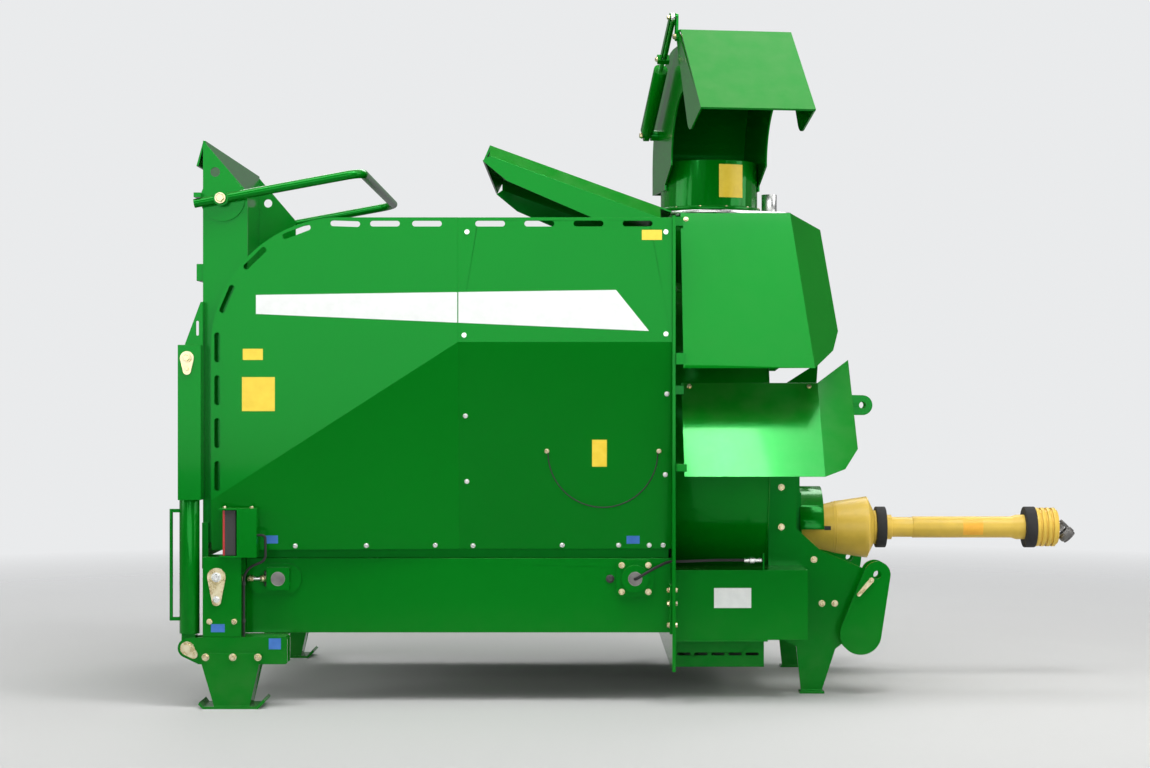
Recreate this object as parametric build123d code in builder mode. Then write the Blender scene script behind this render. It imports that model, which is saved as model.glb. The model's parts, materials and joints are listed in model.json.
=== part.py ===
"""Tractor mounted bale processor: bale bed, tailgate, rotor, fan and blower chute.

Millimetres, +X toward the tractor, +Y to the machine's left, +Z up, ground at Z = 0.
The right-hand side is at negative Y.
"""
from build123d import *
import os
from math import atan2, cos, degrees, hypot, radians, sin, sqrt

os.makedirs("parts", exist_ok=True)

# Sheet and plate thicknesses
SHEET = 6
PLATE = 8
HEAVY = 14
RUN_GAP = 0.05
SIDE_GAP = 5

# Bale bed walls
WALL_REAR_X = -1520
BULKHEAD_X = 94
WALL_TOP_Z = 1710
WALL_FOOT_Z = 545
WALL_Y = 725
WALL_CORNER_R = 455
SEAM_X = -656
CREASE_REAR_Z = 720
CREASE_Z = 1274
WALL_TAPER = 76
RIM_DEPTH = 45
RIM_DROP = 12
SLOT_LENGTH = 104
SLOT_WIDTH = 20
SILL_Y = 600

# Bed rails, floor and floor chain
RAIL_Y = 640
RAIL_TOP_Z = 511
RAIL_FOOT_Z = 248
RAIL_FLANGE = 90
POST_FRONT_X = -1408
SHAFT_Z = 440
DRIVE_SHAFT_X = -34
IDLER_SHAFT_X = -1293
SHAFT_R = 25
CHAIN_PITCH_R = 90
CHAIN_THICK = 22
CHAIN_WIDTH = 36
CHAIN_Y = 330
SLAT_HALF = 540
SLAT_LENGTH = 40
SLAT_HEIGHT = 30

# Tailgate
GATE_REAR_X = -1555
GATE_FRONT_X = -1398
GATE_Y = 680
GATE_FOOT_Z = 570
GATE_APEX_Z = 1984
HINGE_X = -1493
HINGE_Z = 455
HINGE_PIN_R = 16
HINGE_EYE_R = 34
POST_REAR_X = -1542
POST_TOP_Z = 524
POST_Y = 765
HOOP_X = -1485
HOOP_Z = 1777
HOOP_PIN_R = 12
HOOP_TUBE_R = 16
HOOP_Y = 712
HOOP_REACH = 492
HOOP_RISE = 91
HOOP_BEND_R = 60

# Tailgate rams
RAM_X = -1594
RAM_Y = 727
RAM_LOW_Z = 208
RAM_HIGH_Z = 1217
RAM_PIN_R = 14
RAM_EYE_R = 30
RAM_EYE_WIDTH = 60
BARREL_R = 35
BARREL_LOW_Z = 256
BARREL_TOP_Z = 748
ROD_R = 22
ROD_GAP = 0.1
ROD_LOW_Z = 640
CHANNEL_LOW_Z = 723
CHANNEL_TOP_Z = 1263
CHANNEL_REAR_X = -1627
CHANNEL_FRONT_X = -1547
CHANNEL_Y = 775

# Rear feet
FOOT_TOP_Z = 246
FOOT_ARM_Z = 152
FOOT_FRONT_X = -1255
FOOT_Y = 770
SOLE_THICK = 8

# Rotor and fan
ROTOR_X = -152
ROTOR_Z = 915
ROTOR_SHAFT_R = 30
ROTOR_DRUM_R = 110
ROTOR_TIP_R = 225
CHEEK_Y = 652
ROTOR_END_GAP = 22
ROTOR_HALF = CHEEK_Y - ROTOR_END_GAP
FAN_Z = 930
FAN_R = 590
FAN_BACK_X = 106
FAN_FRONT_X = 447
FAN_SHAFT_R = 35
FAN_TIP_R = 555
BULKHEAD_Y = 735
BULKHEAD_FOOT_Z = 120
BULKHEAD_RISE = 196
BULKHEAD_TOP_Z = FAN_Z + FAN_R + BULKHEAD_RISE

# Blower chute, built in its own frame turned about the slew axis
CHUTE_X = 266
TURNTABLE_RISE = 64
CHUTE_Z = BULKHEAD_TOP_Z + TURNTABLE_RISE
CHUTE_TURN = 9
NECK_R = 184
NECK_HEIGHT = 186
OUTLET_R = 158
TURN_GAP = 0.3
FLANGE_R = 195
FLANGE_THICK = 12
SPOUT_END_Y = -400
SPOUT_TOP = 590
SPOUT_BEND_Y = -242
SPOUT_BEND_Z = 164
LIP_BEND_Y = -430
LIP_BEND_R = 252
FLAP_HINGE = (-400, 608)
FLAP_PIN_R = 8
FLAP_HALF = 205
FLAP_TIP = (-800, 304)
FLAP_EAR = (-625, 309)
FLAP_EAR_R = 62
FLAP_LEVER = (-405, 676)
RAM_BASE = (100, 304)
FLAP_RAM_X = -225
FLAP_BARREL_R = 26
FLAP_ROD_R = 9

# Front frame, three-point headstock and drive shaft
FRAME_FRONT_X = 583
FRAME_Y = 590
FRAME_FOOT_Z = 216
FRAME_TOP_Z = 465
HITCH_Y = 380
HITCH_GAP = 65
HITCH_REAR_X = 460
HITCH_POST_X = 562
HITCH_TOP_Z = 1090
LINK_X = 848
LOWER_LINK_Z = 437
MAST_HEIGHT = 610
LOWER_BORE_R = 14.4
TOP_BORE_R = 12.9
TOP_GAP = 52
LOBE_TOP = (LINK_X, LOWER_LINK_Z, 48)
LOBE_FOOT = (788, 222, 75)
PTO_Z = 581
PTO_TIP_X = 1664
PTO_SHAFT_R = 24
PTO_BORE_R = 17.5
STUB_R = 63
STUB_X = 640


def save(piece, name):
    """Label a finished piece and write its STEP file."""
    piece.part.label = name
    export_step(piece.part, f"parts/{name}.step")


def block(xs, ys, zs, mode=Mode.ADD):
    """Add a block between pairs of limits along X, Y and Z."""
    with Locations(((xs[0] + xs[1]) / 2, (ys[0] + ys[1]) / 2, (zs[0] + zs[1]) / 2)):
        Box(xs[1] - xs[0], ys[1] - ys[0], zs[1] - zs[0], mode=mode)


def bar_y(x, z, radius, ys, mode=Mode.ADD):
    """Add a round bar along Y."""
    with Locations(Location((x, (ys[0] + ys[1]) / 2, z), (90, 0, 0))):
        Cylinder(radius, ys[1] - ys[0], mode=mode)


def bar_x(z, radius, xs, mode=Mode.ADD):
    """Add a round bar along X on the machine's centre line."""
    with Locations(Location(((xs[0] + xs[1]) / 2, 0, z), (0, 90, 0))):
        Cylinder(radius, xs[1] - xs[0], mode=mode)


def bar_z(x, y, radius, zs, mode=Mode.ADD):
    """Add an upright round bar."""
    with Locations((x, y, (zs[0] + zs[1]) / 2)):
        Cylinder(radius, zs[1] - zs[0], mode=mode)


def plate_y(ys, points, mode=Mode.ADD):
    """Add a flat plate between two Y limits, cut to an outline in X and Z."""
    with BuildSketch(Plane.XZ.offset(-ys[1])) as outline:
        Polygon(*points, align=None)
    extrude(outline.sketch, amount=ys[1] - ys[0], mode=mode)


def lobe_y(ys, circles, mode=Mode.ADD):
    """Add a plate between two Y limits with a straight-sided outline around circles."""
    with BuildSketch(Plane.XZ.offset(-ys[1])) as outline:
        for x, z, radius in circles:
            with Locations((x, z)):
                Circle(radius)
        make_hull()
    extrude(outline.sketch, amount=ys[1] - ys[0], mode=mode)


def sheet_between(corners, thickness):
    """Add a flat sheet through corner points, given thickness along Y."""
    points = [Vector(*corner) for corner in corners]
    normal = (points[1] - points[0]).cross(points[2] - points[0])
    plane = Plane(origin=points[0], x_dir=points[1] - points[0], z_dir=normal)
    with BuildSketch(plane) as face:
        Polygon(*[tuple(plane.to_local_coords(point))[:2] for point in points], align=None)
    extrude(face.sketch, amount=thickness, dir=(0, 1, 0))


def depth_on(corners, x, z):
    """Give the Y of a point at X and Z on the plane through three corners."""
    first, second, third = [Vector(*corner) for corner in corners]
    normal = (second - first).cross(third - first)
    return first.Y - (normal.X * (x - first.X) + normal.Z * (z - first.Z)) / normal.Y


# Side walls: a rear sheet with the rounded corner and a front sheet, bolted at the seam
ARC_X = WALL_REAR_X + WALL_CORNER_R
ARC_Z = WALL_TOP_Z - WALL_CORNER_R
FOOT_Y_FRONT = -WALL_Y + WALL_TAPER
REAR_FACET = [
    (WALL_REAR_X, -WALL_Y, CREASE_REAR_Z),
    (SEAM_X, -WALL_Y, CREASE_Z),
    (SEAM_X, FOOT_Y_FRONT, WALL_FOOT_Z),
]
FOOT_Y_REAR = depth_on(REAR_FACET, WALL_REAR_X, WALL_FOOT_Z)
REAR_SLOT_PITCH = 150
ARC_SLOT_STEP = 23
REAR_TOP_SLOTS = (-911, -764)
FRONT_TOP_SLOTS = (-543, -371, -199, -27)
SLOT_LINE = RIM_DROP + SLOT_WIDTH / 2

with BuildPart() as wall_rear_right:
    with BuildSketch(Plane.XZ.offset(WALL_Y)):
        with BuildLine():
            Line((WALL_REAR_X, CREASE_REAR_Z), (WALL_REAR_X, ARC_Z))
            CenterArc((ARC_X, ARC_Z), WALL_CORNER_R, 90, 90)
            Polyline(
                (ARC_X, WALL_TOP_Z),
                (SEAM_X, WALL_TOP_Z),
                (SEAM_X, CREASE_Z),
                (WALL_REAR_X, CREASE_REAR_Z),
            )
        make_face()
    extrude(amount=-SHEET)
    sheet_between(REAR_FACET + [(WALL_REAR_X, FOOT_Y_REAR, WALL_FOOT_Z)], SHEET)
    with BuildSketch(Plane.XZ.offset(WALL_Y)):
        with BuildLine():
            Line((WALL_REAR_X, CREASE_REAR_Z), (WALL_REAR_X, ARC_Z))
            CenterArc((ARC_X, ARC_Z), WALL_CORNER_R, 90, 90)
            Polyline(
                (ARC_X, WALL_TOP_Z),
                (SEAM_X, WALL_TOP_Z),
                (SEAM_X, WALL_TOP_Z - SHEET),
                (ARC_X, WALL_TOP_Z - SHEET),
            )
            CenterArc((ARC_X, ARC_Z), WALL_CORNER_R - SHEET, 90, 90)
            Polyline(
                (WALL_REAR_X + SHEET, ARC_Z),
                (WALL_REAR_X + SHEET, CREASE_REAR_Z),
                (WALL_REAR_X, CREASE_REAR_Z),
            )
        make_face()
    extrude(amount=-RIM_DEPTH)
    with BuildSketch(Plane.XY.offset(WALL_FOOT_Z)):
        Polygon(
            (WALL_REAR_X, FOOT_Y_REAR),
            (SEAM_X, FOOT_Y_FRONT),
            (SEAM_X, -SILL_Y),
            (WALL_REAR_X, -SILL_Y),
            align=None,
        )
    extrude(amount=SHEET)
    with BuildSketch(Plane.XZ.offset(WALL_Y)):
        with Locations(*[(x, WALL_TOP_Z - SLOT_LINE) for x in REAR_TOP_SLOTS]):
            SlotOverall(SLOT_LENGTH, SLOT_WIDTH)
        for step in (1, 2, 3, 4):
            turn = 180 - step * ARC_SLOT_STEP
            reach = WALL_CORNER_R - SLOT_LINE
            with Locations((ARC_X + reach * cos(radians(turn)), ARC_Z + reach * sin(radians(turn)))):
                SlotOverall(SLOT_LENGTH, SLOT_WIDTH, rotation=turn - 90)
        for step in (0, 1, 2, 3):
            with Locations((WALL_REAR_X + SLOT_LINE, ARC_Z - step * REAR_SLOT_PITCH)):
                SlotOverall(SLOT_LENGTH, SLOT_WIDTH, rotation=90)
    extrude(amount=-SHEET, mode=Mode.SUBTRACT)
save(wall_rear_right, "wall_rear_right")

with BuildPart() as wall_front_right:
    with BuildSketch(Plane.YZ.offset(SEAM_X)):
        Polygon(
            (-WALL_Y, WALL_TOP_Z),
            (-WALL_Y, CREASE_Z),
            (FOOT_Y_FRONT, WALL_FOOT_Z),
            (-SILL_Y, WALL_FOOT_Z),
            (-SILL_Y, WALL_FOOT_Z + SHEET),
            (FOOT_Y_FRONT + SHEET, WALL_FOOT_Z + SHEET),
            (-WALL_Y + SHEET, CREASE_Z),
            (-WALL_Y + SHEET, WALL_TOP_Z - SHEET),
            (-WALL_Y + RIM_DEPTH, WALL_TOP_Z - SHEET),
            (-WALL_Y + RIM_DEPTH, WALL_TOP_Z),
            align=None,
        )
    extrude(amount=BULKHEAD_X - SEAM_X)
    with BuildSketch(Plane.XZ.offset(WALL_Y)):
        with Locations(*[(x, WALL_TOP_Z - SLOT_LINE) for x in FRONT_TOP_SLOTS]):
            SlotOverall(SLOT_LENGTH, SLOT_WIDTH)
    extrude(amount=-SHEET, mode=Mode.SUBTRACT)
save(wall_front_right, "wall_front_right")

with BuildPart() as wall_rear_left:
    mirror(wall_rear_right.part, about=Plane.XZ)
save(wall_rear_left, "wall_rear_left")

with BuildPart() as wall_front_left:
    mirror(wall_front_right.part, about=Plane.XZ)
save(wall_front_left, "wall_front_left")

# Bed rails: channels under the walls, with an end flange bolted to the bulkhead
RAIL_HOLE_R = 40
TAKE_UP = (-1345, -1240)
TAKE_UP_HALF = 30
END_FLANGE_Y = 700

with BuildPart() as bed_rails:
    block((POST_FRONT_X, BULKHEAD_X), (-RAIL_Y, -RAIL_Y + PLATE), (RAIL_FOOT_Z, RAIL_TOP_Z))
    block(
        (POST_FRONT_X, BULKHEAD_X),
        (-RAIL_Y, -RAIL_Y + RAIL_FLANGE),
        (RAIL_TOP_Z - PLATE, RAIL_TOP_Z),
    )
    block(
        (POST_FRONT_X, BULKHEAD_X),
        (-RAIL_Y, -RAIL_Y + RAIL_FLANGE),
        (RAIL_FOOT_Z, RAIL_FOOT_Z + PLATE),
    )
    block((BULKHEAD_X - PLATE, BULKHEAD_X), (-END_FLANGE_Y, -RAIL_Y), (RAIL_FOOT_Z, RAIL_TOP_Z - RAIL_FLANGE))
    bar_y(DRIVE_SHAFT_X, SHAFT_Z, RAIL_HOLE_R, (-RAIL_Y, -RAIL_Y + PLATE), Mode.SUBTRACT)
    block(
        TAKE_UP,
        (-RAIL_Y, -RAIL_Y + PLATE),
        (SHAFT_Z - TAKE_UP_HALF, SHAFT_Z + TAKE_UP_HALF),
        Mode.SUBTRACT,
    )
    mirror(about=Plane.XZ)
save(bed_rails, "bed_rails")

CROSS_STATIONS = (-1080, -650, -220)
CROSS_LENGTH = 80
CROSS_HEIGHT = 40
with BuildPart() as cross_members:
    for x in CROSS_STATIONS:
        block(
            (x - CROSS_LENGTH / 2, x + CROSS_LENGTH / 2),
            (-RAIL_Y + PLATE, RAIL_Y - PLATE),
            (RAIL_FOOT_Z + PLATE, RAIL_FOOT_Z + PLATE + CROSS_HEIGHT),
        )
save(cross_members, "cross_members")

# Bed floor: a tray whose side lips carry the walls, cut away over the chain ends
LIP = 20
FLOOR_REAR_X = -1400
FLOOR_FRONT_X = 86
FLOOR_CLEAR = 60
FLOOR_CUT_Y = 560
with BuildPart() as bed_floor:
    block(
        (FLOOR_REAR_X, FLOOR_FRONT_X),
        (-SILL_Y - LIP, SILL_Y + LIP),
        (RAIL_TOP_Z, RAIL_TOP_Z + SHEET),
    )
    for side in (-1, 1):
        block(
            (FLOOR_REAR_X, FLOOR_FRONT_X),
            sorted((side * SILL_Y, side * (SILL_Y + LIP))),
            (RAIL_TOP_Z, WALL_FOOT_Z),
        )
    for ends in ((FLOOR_REAR_X, IDLER_SHAFT_X + FLOOR_CLEAR), (DRIVE_SHAFT_X - FLOOR_CLEAR, FLOOR_FRONT_X)):
        block(ends, (-FLOOR_CUT_Y, FLOOR_CUT_Y), (RAIL_TOP_Z, RAIL_TOP_Z + SHEET), Mode.SUBTRACT)
save(bed_floor, "bed_floor")

# Floor chain: two endless chains joined by cross slats
SLAT_PITCH = 190
SLAT_COUNT = 7
SPAN_MID_X = (DRIVE_SHAFT_X + IDLER_SHAFT_X) / 2
SPAN = DRIVE_SHAFT_X - IDLER_SHAFT_X
CHAIN_OUT_R = CHAIN_PITCH_R + CHAIN_THICK / 2
CHAIN_IN_R = CHAIN_PITCH_R - CHAIN_THICK / 2
with BuildPart() as floor_chain:
    for side in (-1, 1):
        with BuildSketch(Plane.XZ.offset(side * CHAIN_Y - CHAIN_WIDTH / 2)):
            with Locations((SPAN_MID_X, SHAFT_Z)):
                SlotCenterToCenter(SPAN, 2 * CHAIN_OUT_R)
                SlotCenterToCenter(SPAN, 2 * CHAIN_IN_R, mode=Mode.SUBTRACT)
        extrude(amount=CHAIN_WIDTH)
    for step in range(SLAT_COUNT):
        x = SPAN_MID_X + (step - (SLAT_COUNT - 1) / 2) * SLAT_PITCH
        for z in (SHAFT_Z + CHAIN_OUT_R, SHAFT_Z - CHAIN_OUT_R - SLAT_HEIGHT):
            block(
                (x - SLAT_LENGTH / 2, x + SLAT_LENGTH / 2),
                (-SLAT_HALF, SLAT_HALF),
                (z, z + SLAT_HEIGHT),
            )
save(floor_chain, "floor_chain")

# Conveyor shafts with their sprockets, bearings and chain tensioners
SPROCKET_WIDTH = 22
BEARING_Y = 670
with BuildPart() as conveyor_shafts:
    for shaft_x in (DRIVE_SHAFT_X, IDLER_SHAFT_X):
        bar_y(shaft_x, SHAFT_Z, SHAFT_R, (-BEARING_Y, BEARING_Y))
        for side in (-1, 1):
            middle = side * CHAIN_Y
            bar_y(shaft_x, SHAFT_Z, CHAIN_IN_R, (middle - SPROCKET_WIDTH / 2, middle + SPROCKET_WIDTH / 2))
save(conveyor_shafts, "conveyor_shafts")

BEARING_SIZE = 132
BEARING_HUB_R = 48
BEARING_PLATE = 12
with BuildPart() as drive_bearings:
    block(
        (DRIVE_SHAFT_X - BEARING_SIZE / 2, DRIVE_SHAFT_X + BEARING_SIZE / 2),
        (-RAIL_Y - BEARING_PLATE, -RAIL_Y),
        (SHAFT_Z - BEARING_SIZE / 2, SHAFT_Z + BEARING_SIZE / 2),
    )
    fillet(drive_bearings.edges().filter_by(Axis.Y), radius=SHAFT_R)
    bar_y(DRIVE_SHAFT_X, SHAFT_Z, BEARING_HUB_R, (-BEARING_Y, -RAIL_Y))
    bar_y(DRIVE_SHAFT_X, SHAFT_Z, SHAFT_R, (-BEARING_Y, -RAIL_Y), Mode.SUBTRACT)
    mirror(about=Plane.XZ)
save(drive_bearings, "drive_bearings")

TENSION_REAR_X = -1404
TENSION_FRONT_X = -1212
TENSION_HALF = 53
TENSION_PLATE = 10
TENSION_ROD_R = 7
with BuildPart() as chain_tensioners:
    with BuildSketch(Plane.XZ.offset(RAIL_Y)):
        with Locations(((TENSION_REAR_X + TENSION_FRONT_X) / 2, SHAFT_Z)):
            SlotOverall(TENSION_FRONT_X - TENSION_REAR_X, 2 * TENSION_HALF)
            SlotOverall(TAKE_UP[1] - TAKE_UP[0], 2 * TAKE_UP_HALF, mode=Mode.SUBTRACT)
    extrude(amount=TENSION_PLATE)
    block(
        (IDLER_SHAFT_X - TAKE_UP_HALF - TENSION_PLATE, IDLER_SHAFT_X + TAKE_UP_HALF + TENSION_PLATE),
        (-BEARING_Y, -RAIL_Y),
        (SHAFT_Z - TAKE_UP_HALF - TENSION_PLATE, SHAFT_Z + TAKE_UP_HALF + TENSION_PLATE),
    )
    with Locations(Location((TENSION_REAR_X / 2 + IDLER_SHAFT_X / 2, -RAIL_Y - TENSION_PLATE, SHAFT_Z), (0, 90, 0))):
        Cylinder(TENSION_ROD_R, IDLER_SHAFT_X - TENSION_REAR_X)
    bar_y(IDLER_SHAFT_X, SHAFT_Z, SHAFT_R, (-BEARING_Y, -RAIL_Y), Mode.SUBTRACT)
    mirror(about=Plane.XZ)
save(chain_tensioners, "chain_tensioners")

MOTOR_R = 46
MOTOR_CASE = 110
MOTOR_CASE_DEPTH = 55
MOTOR_LENGTH = 60
with BuildPart() as conveyor_motor:
    block(
        (DRIVE_SHAFT_X - MOTOR_CASE / 2, DRIVE_SHAFT_X + MOTOR_CASE / 2),
        (BEARING_Y, BEARING_Y + MOTOR_CASE_DEPTH),
        (SHAFT_Z - MOTOR_CASE / 2, SHAFT_Z + MOTOR_CASE / 2),
    )
    bar_y(
        DRIVE_SHAFT_X,
        SHAFT_Z,
        MOTOR_R,
        (BEARING_Y + MOTOR_CASE_DEPTH, BEARING_Y + MOTOR_CASE_DEPTH + MOTOR_LENGTH),
    )
save(conveyor_motor, "conveyor_motor")

# Rear posts: channels open to the rear that hold the tailgate's hinge pins
POST_PLATE = 10
POST_INNER_Y = 630
POST_LEDGE_Y = 712
with BuildPart() as rear_posts:
    block((POST_REAR_X, POST_FRONT_X), (-POST_Y, -POST_Y + POST_PLATE), (FOOT_TOP_Z, POST_TOP_Z))
    block((POST_REAR_X, POST_FRONT_X), (-RAIL_Y, -POST_INNER_Y), (FOOT_TOP_Z, POST_TOP_Z))
    block(
        (POST_FRONT_X - PLATE, POST_FRONT_X),
        (-POST_Y, -RAIL_Y + RAIL_FLANGE),
        (FOOT_TOP_Z, POST_TOP_Z),
    )
    block((POST_REAR_X, POST_FRONT_X), (-POST_Y, -POST_LEDGE_Y), (POST_TOP_Z - PLATE, POST_TOP_Z))
    bar_y(HINGE_X, HINGE_Z, HINGE_PIN_R, (-POST_Y, -POST_INNER_Y), Mode.SUBTRACT)
    mirror(about=Plane.XZ)
save(rear_posts, "rear_posts")

TEAR_DROP = 84
TEAR_R = 32
with BuildPart() as tailgate_pins:
    bar_y(HINGE_X, HINGE_Z, HINGE_PIN_R, (-POST_Y, -POST_INNER_Y))
    lobe_y(
        (-POST_Y - PLATE, -POST_Y),
        [(HINGE_X, HINGE_Z, TEAR_R), (HINGE_X, HINGE_Z - TEAR_DROP, HINGE_PIN_R)],
    )
    mirror(about=Plane.XZ)
save(tailgate_pins, "tailgate_pins")

# Rear feet: arms with the ram clevis, a tapered leg and a turned-up sole
CLEVIS_PLATE = 12
CLEVIS_HALF = RAM_EYE_WIDTH / 2 + 1
ARM_OUT = (-RAM_Y - CLEVIS_HALF - CLEVIS_PLATE, -RAM_Y - CLEVIS_HALF)
ARM_IN = (-RAM_Y + CLEVIS_HALF, -RAM_Y + CLEVIS_HALF + CLEVIS_PLATE)
ARM_REAR_X = -1540
LEG_TOP = (-1554, -1335)
LEG_FOOT = (-1499, -1377)
LEG_TOP_Z = 190
SOLE_REAR_X = -1552
SOLE_FRONT_X = -1319
SOLE_RISE = 26
SOLE_Y = (-800, -655)
with BuildPart() as rear_feet:
    for arm in (ARM_OUT, ARM_IN):
        lobe_y(
            arm,
            [
                (RAM_X, RAM_LOW_Z, RAM_EYE_R + 4),
                (ARM_REAR_X, FOOT_TOP_Z - PLATE, PLATE),
                (FOOT_FRONT_X, FOOT_TOP_Z - PLATE, PLATE),
                (FOOT_FRONT_X, FOOT_ARM_Z + PLATE, PLATE),
                (LEG_TOP[0], FOOT_ARM_Z + PLATE, PLATE),
            ],
        )
    block((ARM_REAR_X, FOOT_FRONT_X), (ARM_OUT[0], -POST_INNER_Y), (FOOT_TOP_Z - CLEVIS_PLATE, FOOT_TOP_Z))
    for ys in ((ARM_OUT[0] - CLEVIS_PLATE, ARM_OUT[0]), (ARM_IN[1], ARM_IN[1] + CLEVIS_PLATE)):
        plate_y(
            ys,
            [
                (LEG_TOP[0], LEG_TOP_Z),
                (LEG_TOP[1], LEG_TOP_Z),
                (LEG_FOOT[1], SOLE_THICK / 2),
                (LEG_FOOT[0], SOLE_THICK / 2),
            ],
        )
    plate_y(
        (ARM_OUT[0], ARM_IN[1]),
        [
            (LEG_TOP[0] + CLEVIS_PLATE, FOOT_ARM_Z),
            (LEG_TOP[0] + 2 * CLEVIS_PLATE, FOOT_ARM_Z),
            (LEG_FOOT[0] + CLEVIS_PLATE, SOLE_THICK / 2),
            (LEG_FOOT[0], SOLE_THICK / 2),
        ],
    )
    plate_y(
        (ARM_OUT[0], ARM_IN[1]),
        [
            (LEG_TOP[1] - 2 * CLEVIS_PLATE, FOOT_ARM_Z),
            (LEG_TOP[1] - CLEVIS_PLATE, FOOT_ARM_Z),
            (LEG_FOOT[1], SOLE_THICK / 2),
            (LEG_FOOT[1] - CLEVIS_PLATE, SOLE_THICK / 2),
        ],
    )
    plate_y(
        SOLE_Y,
        [
            (SOLE_REAR_X, SOLE_THICK + PLATE),
            (SOLE_REAR_X + 2 * PLATE, 0),
            (SOLE_FRONT_X - SOLE_RISE, 0),
            (SOLE_FRONT_X, SOLE_RISE),
            (SOLE_FRONT_X - PLATE, SOLE_RISE + PLATE),
            (SOLE_FRONT_X - SOLE_RISE - PLATE / 2, SOLE_THICK),
            (SOLE_REAR_X + 2 * PLATE, SOLE_THICK),
            (SOLE_REAR_X + PLATE / 2, SOLE_THICK + 2 * PLATE),
        ],
    )
    bar_y(RAM_X, RAM_LOW_Z, RAM_PIN_R, (ARM_OUT[0], ARM_IN[1]), Mode.SUBTRACT)
    mirror(about=Plane.XZ)
save(rear_feet, "rear_feet")

CAM_R = 24
CAM_STEP = 22
with BuildPart() as ram_lower_pins:
    bar_y(RAM_X, RAM_LOW_Z, RAM_PIN_R, (ARM_OUT[0], ARM_IN[1]))
    lobe_y(
        (ARM_OUT[0] - PLATE, ARM_OUT[0]),
        [(RAM_X, RAM_LOW_Z, CAM_R), (RAM_X + CAM_STEP, RAM_LOW_Z - CAM_STEP, RAM_PIN_R)],
    )
    bar_y(RAM_X, RAM_LOW_Z, RAM_PIN_R, (ARM_OUT[0] - 2 * PLATE, ARM_OUT[0] - PLATE))
    mirror(about=Plane.XZ)
save(ram_lower_pins, "ram_lower_pins")

# Rear lamps in open brackets on top of the posts
LAMP_BOX_X = (-1483, -1351)
LAMP_BOX_TOP_Z = 695
LAMP_BOX_Y = (-790, -WALL_Y - 2)
LAMP_X = (-1462, -1425)
LENS_X = (-1470, -1462)
LAMP_Y = (-780, -734)
LAMP_COVER_X = -1420
with BuildPart() as lamp_boxes:
    block(LAMP_BOX_X, LAMP_BOX_Y, (POST_TOP_Z, POST_TOP_Z + SHEET))
    block(LAMP_BOX_X, LAMP_BOX_Y, (LAMP_BOX_TOP_Z - SHEET, LAMP_BOX_TOP_Z))
    block((LAMP_BOX_X[1] - SHEET, LAMP_BOX_X[1]), LAMP_BOX_Y, (POST_TOP_Z, LAMP_BOX_TOP_Z))
    block(
        (LAMP_COVER_X, LAMP_BOX_X[1]),
        (LAMP_BOX_Y[0], LAMP_BOX_Y[0] + SHEET),
        (POST_TOP_Z, LAMP_BOX_TOP_Z),
    )
    mirror(about=Plane.XZ)
save(lamp_boxes, "lamp_boxes")

LAMP_Z = (POST_TOP_Z + SHEET, LAMP_BOX_TOP_Z - SHEET)
for lamp_x, lamp_name in ((LAMP_X, "rear_lamps"), (LENS_X, "lamp_lenses")):
    with BuildPart() as lamp:
        block(lamp_x, LAMP_Y, LAMP_Z)
        mirror(about=Plane.XZ)
    save(lamp, lamp_name)

# Lamp cables: out of the lamp boxes and down the posts to the feet
CABLE_R = 4.5
CABLE_SEAT = 0.3
CABLE_X = POST_FRONT_X + CABLE_R + CABLE_SEAT
CABLE_LOOP_X = LAMP_BOX_X[1] + 26
CABLE_ROUTE = [
    (LAMP_BOX_X[1], -757, 600),
    (CABLE_LOOP_X, -757, 600),
    (CABLE_LOOP_X, -750, 512),
    (CABLE_X, -735, 478),
    (CABLE_X, -735, FOOT_TOP_Z),
]
CABLE_BENDS = [12, 30, 60]
with BuildPart() as lamp_cables:
    with BuildLine():
        FilletPolyline(*CABLE_ROUTE, radius=CABLE_BENDS)
    with BuildSketch(Plane(origin=CABLE_ROUTE[0], z_dir=(1, 0, 0))):
        Circle(CABLE_R)
    sweep()
    mirror(about=Plane.XZ)
save(lamp_cables, "lamp_cables")

# Tailgate: rear panel with ribs, side plates with hinge arms, and the ram channels
GATE_SLOPE_X = -1404
GATE_SLOPE_Z = 1808
PANEL_FOOT_Z = 515
LIP_REAR_X = -1580
LIP_DROP = 90
RIB_STATIONS = (760, 1140, 1520)
RIB_HEIGHT = 60
RIB_DEPTH = 24
GATE_INNER_Y = GATE_Y - PLATE
with BuildPart() as tailgate_panel:
    block((GATE_REAR_X, GATE_REAR_X + PLATE), (-GATE_INNER_Y, GATE_INNER_Y), (PANEL_FOOT_Z, GATE_APEX_Z))
    for z in RIB_STATIONS:
        block(
            (GATE_REAR_X - RIB_DEPTH, GATE_REAR_X),
            (-GATE_INNER_Y, GATE_INNER_Y),
            (z - RIB_HEIGHT / 2, z + RIB_HEIGHT / 2),
        )
    plate_y(
        (-GATE_INNER_Y, GATE_INNER_Y),
        [
            (GATE_REAR_X, GATE_APEX_Z),
            (LIP_REAR_X, GATE_APEX_Z - LIP_DROP),
            (LIP_REAR_X + PLATE, GATE_APEX_Z - LIP_DROP),
            (GATE_REAR_X, GATE_APEX_Z - 3 * PLATE),
        ],
    )
save(tailgate_panel, "tailgate_panel")

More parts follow.
